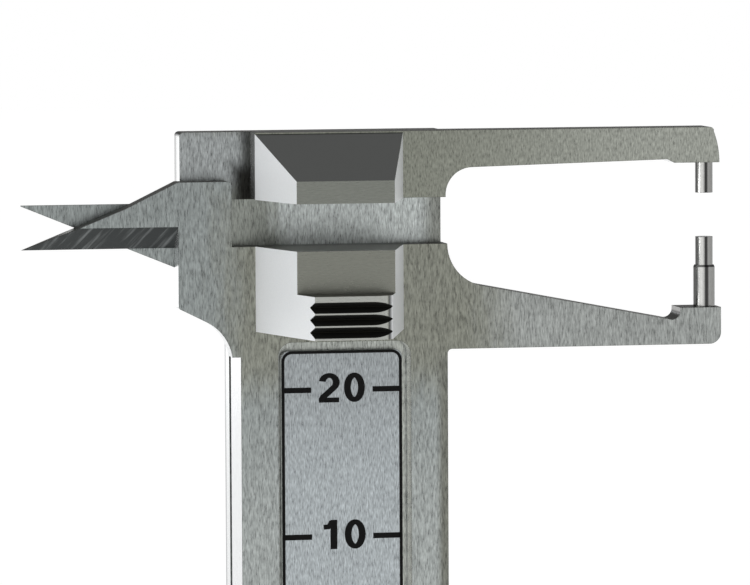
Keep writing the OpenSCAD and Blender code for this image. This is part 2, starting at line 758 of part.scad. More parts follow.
module movement_bridge() {
    color(brass) difference() {
        plate(channel_d, channel_d + bridge_t) polygon(
            round_rect(seam_in - half_stem, -bridge_l, half_stem - seam_in, bridge_l, edge_round));
        rod(0, 0, rear_bush_r, -overrun, 2 * overrun);
        for (side = [-1, 1], end = [-1, 1])
            flush_hole(side * small_x, end * bridge_screw_z, small_r, low_head_r, channel_d + bridge_t, 0);
    }
}

module rear_bush() {
    color(brass) difference() {
        rod(0, 0, rear_bush_r, channel_d, channel_d + bridge_t);
        rod(0, 0, pivot_r + bearing_gap, channel_d - overrun, channel_d + overrun);
    }
}

module bridge_screws() {
    color(dark_steel) for (side = [-1, 1], end = [-1, 1])
        flush_screw(side * small_x, end * bridge_screw_z, small_r, low_head_r, channel_d + bridge_t,
            channel_d - screw_hold);
}

hub_back = floor_t + pointer_t;
wheel_back = hub_back + slide_gap;
gear_front = wheel_back + wheel_t + slide_gap;
hub_front = wheel_back + 3 * wheel_t;
spring_back = wheel_back + wheel_t + wheel_t / 3;
spring_front = hub_front - wheel_t / 3;
hub_r = 2.4 * post_r;

module take_up_post() {
    color(dark_steel) {
        rod(wheel_x, 0, post_r, -hub_front - slide_gap, 0);
        rod(wheel_x, 0, 1.8 * post_r, -hub_back, -floor_t);
        rod(wheel_x, 0, 1.8 * post_r, -hub_front - slide_gap - wheel_t / 2, -hub_front - slide_gap);
    }
}

module hairspring() {
    start = hub_r + slide_gap + spring_t / 2;
    end = stud_x - wheel_x - stud_r - spring_t / 2;
    steps = spring_steps * spring_turns;
    turn = 360 * (1 - spring_turns % 1);
    path = [for (i = [0:steps]) [start + (end - start) * i / steps, turn + 360 * i / spring_steps]];
    color([0.25, 0.3, 0.5]) plate(-spring_front, -spring_back) translate([wheel_x, 0])
        polygon(concat(
            [for (p = path) (p[0] + spring_t / 2) * [cos(p[1]), sin(p[1])]],
            [for (i = [steps:-1:0]) (path[i][0] - spring_t / 2) * [cos(path[i][1]), sin(path[i][1])]]));
}

module hairspring_stud() {
    color(brass) rod(stud_x, 0, stud_r, -spring_front - wheel_t / 2, 0);
}

module travel_stop_pin() {
    color(dark_steel) rod(0, -stop_drop, stop_r, 0, slide_back - edge_round / 2);
}

module gib_spring() {
    rest = channel_x + gib_pocket;
    bow = gib_pocket + slide_side_gap - bearing_gap - gib_t;
    half = gib_l / 2 - edge_round;
    r = (half * half + bow * bow) / (2 * bow);
    spread = asin(half / r);
    color(spring_steel) plate(gib_low + edge_round / 2, gib_high - edge_round / 2)
        polygon(concat(
            arc([rest - bow - gib_t + r + gib_t, gib_z], r + gib_t, 180 - spread, 180 + spread),
            arc([rest - bow + r, gib_z], r, 180 + spread, 180 - spread)));
}

module gib_screws() {
    inner = channel_x + gib_pocket;
    outer = half_stem - edge_round / 3;
    color(dark_steel) for (z = gib_screw_z) difference() {
        translate([inner, gib_mid - body_d, z]) rotate([0, 90, 0])
            cylinder(r = set_r, h = outer - inner);
        translate([outer - slot_d, gib_mid - body_d - overrun, z - slot_w / 2])
            cube([overrun, 2 * overrun, slot_w]);
    }
}

module bezel_snap_wire() {
    color(spring_steel) turned() translate([housing_r, wire_f]) circle(r = wire_r, $fn = 24);
}

finger_back = rim_front + rim_t + bezel_gap;
finger_in = bezel_out + bezel_gap * 2;
foot_in = rim_r + bezel_gap * 2;

module bezel_clamp() {
    color(steel) rotate([0, -clamp_angle, 0]) difference() {
        union() {
            plate(-finger_back - finger_t, -finger_back)
                polygon(round_rect(finger_in, -lug_half, lug_end, lug_half, edge_round));
            plate(-finger_back - finger_t / 2, -base_h)
                polygon(round_rect(foot_in, -lug_half, lug_end, lug_half, edge_round));
        }
        rod(lug_r, 0, clamp_r + slide_gap, -overrun, overrun);
    }
}

module bezel_clamp_screw() {
    head_back = finger_back + finger_t + bezel_gap;
    color(dark_steel) rotate([0, -clamp_angle, 0]) translate([lug_r, 0, 0]) difference() {
        union() {
            rod(0, 0, clamp_r, -head_back, -edge_round);
            plate(-head_back - clamp_head_h, -head_back) polygon([for (i = [0:2 * clamp_grips - 1])
                let (a = 180 * i / clamp_grips) (clamp_head_r - (i % 2) * slot_d / 2) * [cos(a), sin(a)]]);
        }
        translate([-overrun / 2, 2 * slot_d - body_d - head_back - clamp_head_h - overrun, -slot_w])
            cube([overrun, overrun, 2 * slot_w]);
    }
}

// Outline of the moving plate and beam, drawn closed
module slide_outline() {
    top = head_z + plate_gap + moving_h;
    right = half_stem - slide_side_gap;
    step = head_z - plate_gap - moving_h * 0.88;
    root = measure_z - jaw_root_h;
    polygon(concat(
        [[-tip_reach, measure_z], [-tip_reach, measure_z - knife_land / 2], [-slide_x, root],
            [-slide_x, slide_bottom], [slide_x, slide_bottom], [slide_x, step - side_wall], [right, step],
            [right, top]],
        arc([edge_round - moving_left, top - edge_round], edge_round, 90, 180),
        [[-moving_left, measure_z]]));
}

module slide_plate() {
    color(steel) lifted() difference() {
        plate(slide_front, slide_back) slide_outline();
        // Ground bevel behind the moving jaw's knife edge
        bar(-tip_reach - overrun, -moving_left) polygon([
            [slide_front + knife_land, measure_z + overrun], [slide_front + knife_land, measure_z],
            [slide_back, measure_z - bevel_h], [slide_back + overrun, measure_z - bevel_h],
            [slide_back + overrun, measure_z + overrun]]);
        // Slot round the pinion, with the rebate for the rack's flange
        plate(0, 2 * overrun)
            translate([rack_bar_x, slot_bottom]) square([slot_right - rack_bar_x, slot_top - slot_bottom]);
        plate(slide_back - rack_flange_t, 2 * overrun)
            translate([rack_flange_x, rack_bottom])
            square([rack_flange + edge_round, rack_top - rack_bottom]);
        for (z = rack_screw_z)
            rod(rack_screw_x, z, small_r, slide_front + edge_round / 2, overrun);
        for (place = arm_screw_places)
            flush_hole(place[0], place[1], screw_r, screw_head_r, slide_back, -overrun);
        cursor_legs();
    }
}

index_z = head_z - zero_drop;

// The cursor's two legs, beside the scale plate
module cursor_legs() {
    plate(cursor_front, slide_front + leg_seat) for (left = [-cursor_x, scale_x + cursor_gap])
        translate([left, index_z - cursor_h / 2]) square([cursor_x - scale_x - cursor_gap, cursor_h]);
}

module index_cursor() {
    color(black_paint) lifted() union() {
        plate(cursor_front, cursor_front + cursor_t)
            translate([-cursor_x, index_z - cursor_h / 2]) square([2 * cursor_x, cursor_h]);
        cursor_legs();
    }
}

module upper_arm_outline() {
    low = head_z + plate_gap;
    top = low + moving_h;
    right = half_stem - slide_side_gap;
    edge_tip = top - arm_tip_h;
    throat = [right + upper_throat_r, edge_tip - upper_throat_r - upper_edge_rise];
    boss_low = edge_tip - upper_boss_drop;
    boss = arm_reach - upper_boss_l;
    // The arm's end is bowed about a point on a level with the boss's face
    end_x = arm_reach - end_setback - end_r;
    bow = asin((top - edge_round - boss_low) / end_r);
    polygon(concat(
        [[-block_left, low], [right, low]],
        arc(throat, upper_throat_r, 180, 90 + upper_slope),
        [[boss - 2 * upper_boss_drop, edge_tip],
            [boss - upper_boss_drop / 2, edge_tip - 0.75 * upper_boss_drop], [boss, boss_low]],
        arc([end_x, boss_low], end_r, 0, bow),
        arc([end_x + (end_r - edge_round) * cos(bow), top - edge_round], edge_round, bow, 90),
        [[-block_left, top]]));
}

module upper_arm() {
    right = half_stem - slide_side_gap;
    color(steel) lifted() difference() {
        union() {
            plate(0, slide_front) upper_arm_outline();
            plate(0, arm_t) intersection() {
                upper_arm_outline();
                translate([right, head_z]) square([arm_reach, 2 * moving_h]);
            }
        }
        for (place = arm_screw_places)
            rod(place[0], place[1], screw_r, screw_end, overrun);
        for (x = block_screw_x)
            flush_hole(x, moving_screw_z, screw_r, screw_head_r, slide_front, -overrun);
        upright(anvil_x, pin_depth, pin_r, head_z, pin_top);
    }
}

pin_top = head_z + plate_gap + moving_h - arm_tip_h - upper_boss_drop + pin_seat;

module arm_screws() {
    color(dark_steel) lifted() for (place = arm_screw_places)
        flush_screw(place[0], place[1], screw_r, screw_head_r, slide_back, screw_end);
}

module moving_thumb_block() {
    low = head_z + plate_gap;
    top = low + moving_h;
    color(steel) lifted() difference() {
        intersection() {
            column(low, top) block_section(block_out);
            bar(-block_w, block_w) polygon([
                [0, low], [-block_out, low], [-block_out, low + block_front_h], [0, top - block_rim]]);
        }
        for (x = block_screw_x)
            rod(x, moving_screw_z, screw_r, -screw_hold, overrun);
    }
}

module thumb_block_screws() {
    color(dark_steel) lifted() for (x = block_screw_x)
        flush_screw(x, moving_screw_z, screw_r, screw_head_r, slide_front, -screw_hold);
}

module moving_anvil_pin() {
    color(pin_steel) lifted() upright(anvil_x, pin_depth, pin_r, anvil_tip_z + anvil_gap, pin_top);
}

module rack() {
    half = (tooth_pitch / 2 - backlash / 2) / 2;
    tip = half - addendum * tan(pressure);
    root = half + dedendum * tan(pressure);
    tooth_tip_x = -pinion_pitch_r + addendum;
    low = rack_bottom + edge_round;
    high = rack_top - edge_round;
    tooth = [[tooth_root_x, -root], [tooth_tip_x, -tip], [tooth_tip_x, tip], [tooth_root_x, root]];
    first = ceil(low / tooth_pitch);
    last = floor(high / tooth_pitch) - 1;
    color(brass) lifted() difference() {
        union() {
            plate(slide_front + edge_round, slide_back) polygon(concat(
                [[rack_bar_x, high], [rack_bar_x, low], [tooth_root_x, low]],
                [for (i = [first:last], p = tooth) [p[0], (i + 0.5) * tooth_pitch + p[1]]],
                [[tooth_root_x, high]]));
            plate(slide_back - rack_flange_t, slide_back)
                translate([rack_flange_x, rack_bottom]) square([rack_flange, rack_top - rack_bottom]);
        }
        for (z = rack_screw_z)
            flush_hole(rack_screw_x, z, small_r, low_head_r, slide_back, 0);
    }
}

module rack_screws() {
    color(dark_steel) lifted() for (z = rack_screw_z)
        flush_screw(rack_screw_x, z, small_r, low_head_r, slide_back, slide_front + edge_round / 2);
}

shoulder = dial_front + pointer_rise;
seat_front = shoulder + 2.5 * pointer_t;

module pinion_arbor() {
    color(brass) rotate([0, pinion_turn, 0]) union() {
        plate(slide_front + slide_gap, slide_back - slide_gap)
            gear_outline(pinion_teeth, pinion_pitch_r, 0);
        rod(0, 0, pivot_r, slide_back - slide_gap, channel_d + bridge_t - slide_gap);
        rod(0, 0, journal_r, -hub_back, slide_front + slide_gap);
        plate(-gear_front, -hub_back) gear_outline(pinion_teeth, pinion_pitch_r, 0);
        rod(0, 0, journal_r * 0.8, -shoulder, -gear_front);
        rod(0, 0, seat_r, -seat_front, -shoulder);
    }
}

module pointer() {
    color(black_paint) rotate([0, pinion_turn, 0]) difference() {
        union() {
            rod(0, 0, 2.1 * journal_r, -shoulder - pointer_t, -shoulder);
            plate(-shoulder - pointer_t, -shoulder) polygon([
                [-1.6 * pointer_half, -pointer_tail], [-pointer_half / 6, pointer_l],
                [pointer_half / 6, pointer_l], [1.6 * pointer_half, -pointer_tail]]);
        }
        rod(0, 0, seat_r, -overrun, 0);
    }
}

module pointer_cap() {
    front = seat_front + pointer_t;
    back = shoulder + pointer_t;
    cap_r = 1.5 * journal_r;
    color(brass) difference() {
        turned() polygon(concat(
            [[0, back], [cap_r, back]],
            arc([cap_r - pointer_t, front - pointer_t], pointer_t, 0, 90), [[0, front]]));
        rod(0, 0, seat_r, -seat_front, -back + overrun);
    }
}

module take_up_wheel() {
    color(brass) translate([wheel_x, 0, 0]) difference() {
        union() {
            plate(-wheel_back - wheel_t, -wheel_back) difference() {
                gear_outline(wheel_teeth, wheel_pitch_r, 180 / wheel_teeth + pinion_turn / wheel_ratio);
                for (a = [45:90:315]) rotate(a) translate([wheel_pitch_r * spoke_place_share, 0])
                    circle(r = wheel_pitch_r * spoke_hole_share);
            }
            rod(0, 0, hub_r, -hub_front, -wheel_back);
        }
        rod(0, 0, post_r + bearing_gap, -2 * overrun, overrun);
    }
}

module bezel() {
    groove_half = wire_r + edge_round / 4;
    color(steel) difference() {
        union() {
            turned() polygon([
                [bezel_in, rim_front], [rim_r - rim_t / 4, rim_front], [rim_r, rim_front + rim_t / 4],
                [rim_r, rim_front + rim_t], [bezel_in, rim_front + rim_t]]);
            plate(-lip_back, -rim_front - rim_t) difference() {
                polygon([for (i = [0:serrations - 1], p = serration_shares)
                    let (a = 360 * (i + p[0]) / serrations)
                    (bezel_out - serration_d * p[1]) * [cos(a), sin(a)]]);
                circle(r = bezel_in, $fn = 96);
            }
            turned() polygon([[bezel_in - lip_w, lip_back], [bezel_out - serration_d, lip_back],
                [bezel_out - lip_h, bezel_front], [bezel_in - lip_w + lip_h / 2, bezel_front]]);
        }
        turned() translate([bezel_in - edge_round, wire_f - groove_half])
            square([1.6 * wire_r + edge_round, 2 * groove_half]);
    }
}

module crystal() {
    edge = bezel_in - lip_w;
    dome_r = (edge * edge + dome_h * dome_h) / (2 * dome_h);
    spread = asin(edge / dome_r);
    color([0.85, 0.9, 0.95, 0.3]) turned() polygon(concat(
        [[0, crystal_back], [bezel_in, crystal_back], [bezel_in, lip_back]],
        arc([0, lip_back + dome_h - dome_r], dome_r, 90 - spread, 90)));
}

module dial_face() {
    color(white_paint) turned() polygon([[journal_r + edge_round, dial_back], [bezel_in, dial_back],
        [bezel_in, dial_front], [journal_r + edge_round, dial_front]]);
}

module dial_ring() {
    color(steel) turned() polygon([[bezel_in - 1.4 * lip_w, dial_front], [bezel_in, dial_front],
        [bezel_in, crystal_back], [bezel_in - lip_w, crystal_back]]);
}

front_body();
rear_cover();
cover_screws();
scale_plate();
scale_screws();
fixed_thumb_block();
fixed_block_screws();
fixed_anvil_sleeve();
fixed_anvil_pin();
dial_housing();
housing_screws();
front_bush();
movement_bridge();
rear_bush();
bridge_screws();
take_up_post();
hairspring();
hairspring_stud();
travel_stop_pin();
gib_spring();
gib_screws();
bezel_snap_wire();
bezel_clamp();
slide_plate();
upper_arm();
arm_screws();
moving_thumb_block();
thumb_block_screws();
moving_anvil_pin();
rack();
rack_screws();
index_cursor();
pinion_arbor();
pointer();
pointer_cap();
take_up_wheel();
bezel();
crystal();
dial_face();
dial_ring();
bezel_clamp_screw();
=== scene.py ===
"""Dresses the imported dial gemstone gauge: finishes, printed scale and dial, camera and plain studio."""
import logging
import math
from dataclasses import dataclass, field
from enum import Enum

import bmesh
import bpy
from mathutils import Matrix, Vector


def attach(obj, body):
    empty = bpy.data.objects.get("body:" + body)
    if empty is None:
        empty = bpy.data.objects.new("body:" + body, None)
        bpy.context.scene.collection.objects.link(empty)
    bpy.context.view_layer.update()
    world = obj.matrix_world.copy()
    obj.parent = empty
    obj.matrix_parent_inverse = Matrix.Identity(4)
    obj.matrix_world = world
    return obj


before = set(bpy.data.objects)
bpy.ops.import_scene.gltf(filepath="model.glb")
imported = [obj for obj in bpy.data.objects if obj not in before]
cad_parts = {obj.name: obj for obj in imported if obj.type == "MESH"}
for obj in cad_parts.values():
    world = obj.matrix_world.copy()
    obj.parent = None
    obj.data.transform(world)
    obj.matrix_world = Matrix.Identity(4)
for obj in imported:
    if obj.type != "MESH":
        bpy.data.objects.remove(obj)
LOG = logging.getLogger("gauge")
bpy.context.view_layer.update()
MM = 0.001
MICRON = 0.001 * MM

Colour = tuple[float, float, float]
Point = tuple[float, float, float]
Socket = bpy.types.NodeSocket
Value = Socket | float
Shade = Socket | Colour

# Sockets of a colour mix node: its two colours and its result
MIX_LOW, MIX_HIGH, MIX_OUT = 6, 7, 2

# Waves per metre: specks in paint, smears on the crystal, the stray edge of an area
SPECKS = 9000.0
SMEARS = 260.0
STRAY_EDGE = (2600.0, 500.0, 420.0)

# Grinding marks of the bevel: slant in degrees, marks per metre, breaks per metre
BEVEL_MARKS = (38.0, 3400.0, 260.0)

# Grain: a streak's length over its width, the broad streaks' fineness, the fine streaks' share
GRAIN_LENGTH = 5
BROAD_GRAIN = 0.3
FINE_SHARE = 0.82

# Painted shade along the edges of the ground solids: darkness, width in millimetres and tone of the dark line
EDGE_SHADE_DARKNESS = 0.85
EDGE_SHADE_WIDTH = 0.08
EDGE_SHADE_TONE = (0.03, 0.03, 0.026)

# Rounding of the edges, and the least angle in degrees that is rounded
SOFT_EDGE = 0.06 * MM
SOFT_DIAL_EDGE = 0.08 * MM
SHARP_ANGLE = 35

# Tones that several finishes share: the white of walls painted as if lit, and the black of the grooves
PAINTED_LIT_WALL = (0.8, 0.82, 0.83)
GROOVE_BLACK = (0.008, 0.008, 0.006)


class Grain(Enum):
    """Which way a metal finish was brushed."""

    UPRIGHT = "upright"
    ALONG_ARMS = "along_arms"
    TURNED = "turned"
    CLOUDY = "cloudy"


class Facing(Enum):
    """Which of a solid's faces takes a tone of its own, found by the way the face looks."""

    SIDES = "sides"
    TOPS = "tops"
    BEVEL = "bevel"
    GROOVES = "grooves"


@dataclass(frozen=True)
class NodeWires:
    """Short calls that place and join shader nodes of one material or world.

    Args:
        owner: the material or world whose node tree is filled.
    """

    owner: bpy.types.Material | bpy.types.World

    def add(self, kind: str, **values: object) -> bpy.types.Node:
        """Places one node and sets its plain properties.

        Args:
            kind: the node's type name.
            values: properties of the node, by name.

        Returns:
            The new node.
        """
        node = self.owner.node_tree.nodes.new(kind)
        for name, value in values.items():
            setattr(node, name, value)
        return node

    def join(self, output: Socket, socket: Socket) -> None:
        """Joins an output to an input.

        Args:
            output: where the value comes from.
            socket: where it goes.
        """
        self.owner.node_tree.links.new(output, socket)

    def grain_noise(self, scale: tuple[float, float, float], detail: float) -> Socket:
        """Noise in the object's own place, stretched by a scale per axis.

        Args:
            scale: waves per metre along X, Y and Z.
            detail: the noise's detail.

        Returns:
            The noise's factor.
        """
        place = self.add("ShaderNodeTexCoord")
        stretch = self.add("ShaderNodeMapping")
        stretch.inputs["Scale"].default_value = scale
        noise = self.add("ShaderNodeTexNoise")
        noise.inputs["Scale"].default_value = 1.0
        noise.inputs["Detail"].default_value = detail
        self.join(place.outputs["Object"], stretch.inputs["Vector"])
        self.join(stretch.outputs["Vector"], noise.inputs["Vector"])
        return noise.outputs["Fac"]

    def spread(self, value: Socket, low: float, high: float) -> Socket:
        """Maps a middling noise onto a range.

        Args:
            value: the noise.
            low: the result where the noise is low.
            high: the result where the noise is high.

        Returns:
            The mapped value.
        """
        span = self.add("ShaderNodeMapRange")
        span.inputs["From Min"].default_value = 0.3
        span.inputs["From Max"].default_value = 0.7
        span.inputs["To Min"].default_value = low
        span.inputs["To Max"].default_value = high
        self.join(value, span.inputs["Value"])
        return span.outputs["Result"]

    def steps(self, value: Socket, start: float, end: float) -> Socket:
        """Maps a value smoothly onto 0 at start and 1 at end.

        Args:
            value: the value.
            start: where the result is 0.
            end: where the result is 1.

        Returns:
            The mapped value.
        """
        span = self.add("ShaderNodeMapRange", interpolation_type="SMOOTHSTEP")
        flip = start > end
        span.inputs["From Min"].default_value = min(start, end)
        span.inputs["From Max"].default_value = max(start, end)
        span.inputs["To Min"].default_value = 1.0 if flip else 0.0
        span.inputs["To Max"].default_value = 0.0 if flip else 1.0
        self.join(value, span.inputs["Value"])
        return span.outputs["Result"]

    def sums(self, operation: str, first: Socket, second: Value) -> Socket:
        """Does one sum.

        Args:
            operation: the kind of sum.
            first: its first value.
            second: its second value, a socket or a number.

        Returns:
            The result.
        """
        node = self.add("ShaderNodeMath", operation=operation)
        self.join(first, node.inputs[0])
        if isinstance(second, float):
            node.inputs[1].default_value = second
        else:
            self.join(second, node.inputs[1])
        return node.outputs[0]

    def mix(self, factor: Value, low: Shade, high: Shade, blend: str = "MIX") -> Socket:
        """Mixes two colours.

        Args:
            factor: the share of the second, a socket or a number.
            low: the first colour, a socket or three numbers.
            high: the second colour, a socket or three numbers.
            blend: the way of mixing.

        Returns:
            The mixed colour.
        """
        node = self.add("ShaderNodeMix", data_type="RGBA", blend_type=blend)
        for index, colour in ((MIX_LOW, low), (MIX_HIGH, high)):
            if isinstance(colour, tuple):
                node.inputs[index].default_value = (*colour, 1.0)
            else:
                self.join(colour, node.inputs[index])
        if isinstance(factor, float):
            node.inputs[0].default_value = factor
        else:
            self.join(factor, node.inputs[0])
        return node.outputs[MIX_OUT]

    def between(self, factor: Socket, low: Value, high: float) -> Socket:
        """Mixes two numbers by a varying factor.

        Args:
            factor: the varying factor.
            low: the value at 0, a socket or a number.
            high: the number at 1.

        Returns:
            The mixed value.
        """
        node = self.add("ShaderNodeMix", data_type="FLOAT")
        if isinstance(low, float):
            node.inputs[2].default_value = low
        else:
            self.join(low, node.inputs[2])
        node.inputs[3].default_value = high
        self.join(factor, node.inputs[0])
        return node.outputs[0]

    def facing(self, kind: Facing) -> Socket:
        """Finds the faces of one kind by the solid's own normals.

        Args:
            kind: the kind of face.

        Returns:
            1 on those faces and 0 elsewhere.
        """
        place = self.add("ShaderNodeTexCoord")
        parts = self.add("ShaderNodeSeparateXYZ")
        self.join(place.outputs["Normal"], parts.inputs[0])
        # The limits below are parts of the normal: 1 faces straight along the axis, 0 stands at right angles
        across, up = parts.outputs["Y"], parts.outputs["Z"]
        if kind is Facing.SIDES:
            return self.steps(self.sums("ABSOLUTE", across, 0.0), 0.8, 0.6)
        if kind is Facing.TOPS:
            level = self.steps(self.sums("ABSOLUTE", across, 0.0), 0.6, 0.4)
            return self.sums("MULTIPLY", self.steps(up, 0.35, 0.6), level)
        if kind is Facing.BEVEL:
            return self.sums("MULTIPLY", self.steps(across, -0.35, -0.5), self.steps(up, -0.4, -0.6))
        steep = self.steps(self.sums("ABSOLUTE", up, 0.0), 0.6, 0.75)
        return self.sums("MULTIPLY", steep, self.steps(across, -0.15, -0.25))

    def edge_lines(self, width: float) -> Socket:
        """Finds a narrow band along the solid's edges, where a dark line of painted shade goes.

        Args:
            width: the band's width in millimetres.

        Returns:
            1 on the edges and 0 elsewhere.
        """
        rounded = self.add("ShaderNodeBevel", samples=6)
        rounded.inputs["Radius"].default_value = width * MM
        flat = self.add("ShaderNodeNewGeometry")
        likeness = self.add("ShaderNodeVectorMath", operation="DOT_PRODUCT")
        self.join(rounded.outputs["Normal"], likeness.inputs[0])
        self.join(flat.outputs["Normal"], likeness.inputs[1])
        return self.steps(likeness.outputs["Value"], 0.985, 0.85)

    def mix_shaders(self, factor: Socket, first: bpy.types.Node, second: bpy.types.Node) -> bpy.types.Node:
        """Mixes two surface or world shaders.

        Args:
            factor: the share of the second.
            first: the first shader.
            second: the second shader.

        Returns:
            The mixing node.
        """
        node = self.add("ShaderNodeMixShader")
        for index, output in enumerate((factor, first.outputs[0], second.outputs[0])):
            self.join(output, node.inputs[index])
        return node

    def scratches(self, angle: float, across: float, along: float) -> Socket:
        """Makes slanting grinding marks.

        Args:
            angle: their slant in degrees.
            across: marks per metre.
            along: their breaks per metre.

        Returns:
            A factor, near 1 on the marks.
        """
        place = self.add("ShaderNodeTexCoord")
        turned = self.add("ShaderNodeMapping", vector_type="TEXTURE")
        turned.inputs["Rotation"].default_value = (0, math.radians(angle), 0)
        turned.inputs["Scale"].default_value = (1 / across, 1 / along, 1 / along)
        self.join(place.outputs["Object"], turned.inputs["Vector"])
        noise = self.add("ShaderNodeTexNoise")
        noise.inputs["Scale"].default_value = 1.0
        noise.inputs["Detail"].default_value = 3.0
        self.join(turned.outputs[0], noise.inputs["Vector"])
        return self.steps(noise.outputs[0], 0.47, 0.78)

    def shaft_bands(self, stops: tuple[tuple[float, float], ...]) -> Socket:
        """Paints highlights and dark reflections along a drawn shaft, by the side its skin faces.

        Args:
            stops: pairs of the sideways part of the normal and the grey there.

        Returns:
            The colour.
        """
        place = self.add("ShaderNodeTexCoord")
        parts = self.add("ShaderNodeSeparateXYZ")
        self.join(place.outputs["Normal"], parts.inputs[0])
        ramp = self.add("ShaderNodeValToRGB")
        bands = ramp.color_ramp.elements
        while len(bands) < len(stops):
            bands.new(0.5)
        for band, (side, grey) in zip(bands, stops):
            band.position = side / 2 + 0.5
            band.color = (grey, grey, grey * 0.97, 1)
        self.join(self.from_signed(parts.outputs["X"]), ramp.inputs[0])
        return ramp.outputs[0]

    def from_signed(self, value: Socket) -> Socket:
        """Maps a value from -1 to 1 onto 0 to 1.

        Args:
            value: the value.

        Returns:
            The mapped value.
        """
        return self.sums("ADD", self.sums("MULTIPLY", value, 0.5), 0.5)

    def relief(self, height: Socket, depth: float, shader: bpy.types.Node) -> None:
        """Gives a shader a fine relief.

        Args:
            height: the factor that stands for the height.
            depth: the relief's depth in metres.
            shader: the surface shader.
        """
        bump = self.add("ShaderNodeBump")
        bump.inputs["Distance"].default_value = depth
        self.join(height, bump.inputs["Height"])
        self.join(bump.outputs["Normal"], shader.inputs["Normal"])


def fresh_material(name: str) -> tuple[NodeWires, bpy.types.Node]:
    """Makes an empty material with one surface shader.

    Args:
        name: the material's name.

    Returns:
        Its wires and its surface shader.
    """
    material = bpy.data.materials.new(name)
    material.use_nodes = True
    material.node_tree.nodes.clear()
    wires = NodeWires(material)
    out = wires.add("ShaderNodeOutputMaterial")
    shader = wires.add("ShaderNodeBsdfPrincipled")
    wires.join(shader.outputs["BSDF"], out.inputs["Surface"])
    return wires, shader


@dataclass(frozen=True)
class Patch:
    """A soft-edged area of another tone, in the solid's own place.

    Args:
        centre: its middle in millimetres.
        half: its half sizes in millimetres.
        soft: width of its soft edge in millimetres.
        tone: its colour.
        share: how much of that colour it takes.
        wander: how far its edge wanders, in millimetres.
        foot: height where it ends sharply, in millimetres.
        on_sides: whether it lies on the side walls, over the tone painted on them.
    """

    centre: Point
    half: Point
    soft: float
    tone: Colour
    share: float = 1.0
    wander: float = 0.0
    foot: float = -100.0
    on_sides: bool = False

    def mask(self, wires: NodeWires) -> Socket:
        """Makes the area's factor.

        Args:
            wires: the material's wires.

        Returns:
            The share inside the area, falling to 0 outside it.
        """
        place = wires.add("ShaderNodeTexCoord").outputs["Object"]
        offset = wires.add("ShaderNodeVectorMath", operation="SUBTRACT")
        offset.inputs[1].default_value = tuple(c * MM for c in self.centre)
        wires.join(place, offset.inputs[0])
        size = wires.add("ShaderNodeVectorMath", operation="ABSOLUTE")
        wires.join(offset.outputs[0], size.inputs[0])
        beyond = wires.add("ShaderNodeVectorMath", operation="SUBTRACT")
        beyond.inputs[1].default_value = tuple(h * MM for h in self.half)
        wires.join(size.outputs[0], beyond.inputs[0])
        parts = wires.add("ShaderNodeSeparateXYZ")
        wires.join(beyond.outputs[0], parts.inputs[0])
        far = wires.sums("MAXIMUM", parts.outputs["X"], parts.outputs["Y"])
        far = wires.sums("MAXIMUM", far, parts.outputs["Z"])
        if self.wander:
            stray = wires.spread(wires.grain_noise(STRAY_EDGE, 3.0), -self.wander * MM, self.wander * MM)
            far = wires.sums("ADD", far, stray)
        height = wires.add("ShaderNodeSeparateXYZ")
        wires.join(place, height.inputs[0])
        above = wires.sums("GREATER_THAN", height.outputs["Z"], self.foot * MM)
        inside = wires.sums("MULTIPLY", wires.steps(far, self.soft * MM, 0.0), self.share)
        if self.on_sides:
            inside = wires.sums("MULTIPLY", inside, wires.facing(Facing.SIDES))
        return wires.sums("MULTIPLY", inside, above)


@dataclass(frozen=True)
class FaceTone:
    """How one kind of face differs from the rest of its solid.

    Args:
        facing: the kind of face.
        tone: its colour.
        metal: its metallic share.
        roughness: its roughness.
        marks: colour of slanting grinding marks on it, or none.
    """

    facing: Facing
    tone: Colour
    metal: float = 1.0
    roughness: float = 0.14
    marks: Colour | None = None


# How much of the grain's contrast these faces lose
FACE_CALM = 0.75

# Faces that several finishes share: pale side walls are painted light and dark tops painted shade
PAINTED_LIT_SIDES = FaceTone(Facing.SIDES, (0.62, 0.635, 0.64), 0.8, 0.2)
PAINTED_SHADED_TOPS = FaceTone(Facing.TOPS, (0.2, 0.2, 0.185), roughness=0.35)
PAINTED_SIDES_AND_TOPS = (PAINTED_LIT_SIDES, PAINTED_SHADED_TOPS)
# Painted dark reflection on faces that look forward and down, with grinding marks on it
MARKED_BEVEL_PAINTED_DARK = FaceTone(Facing.BEVEL, (0.045, 0.049, 0.049), roughness=0.3, marks=(0.16, 0.17, 0.17))
PLATE_FACES = (*PAINTED_SIDES_AND_TOPS, MARKED_BEVEL_PAINTED_DARK)
# Painted light: side walls made near white, as if lit from the left
PAINTED_WHITE_SIDES = FaceTone(Facing.SIDES, PAINTED_LIT_WALL, 0.15, 0.4)


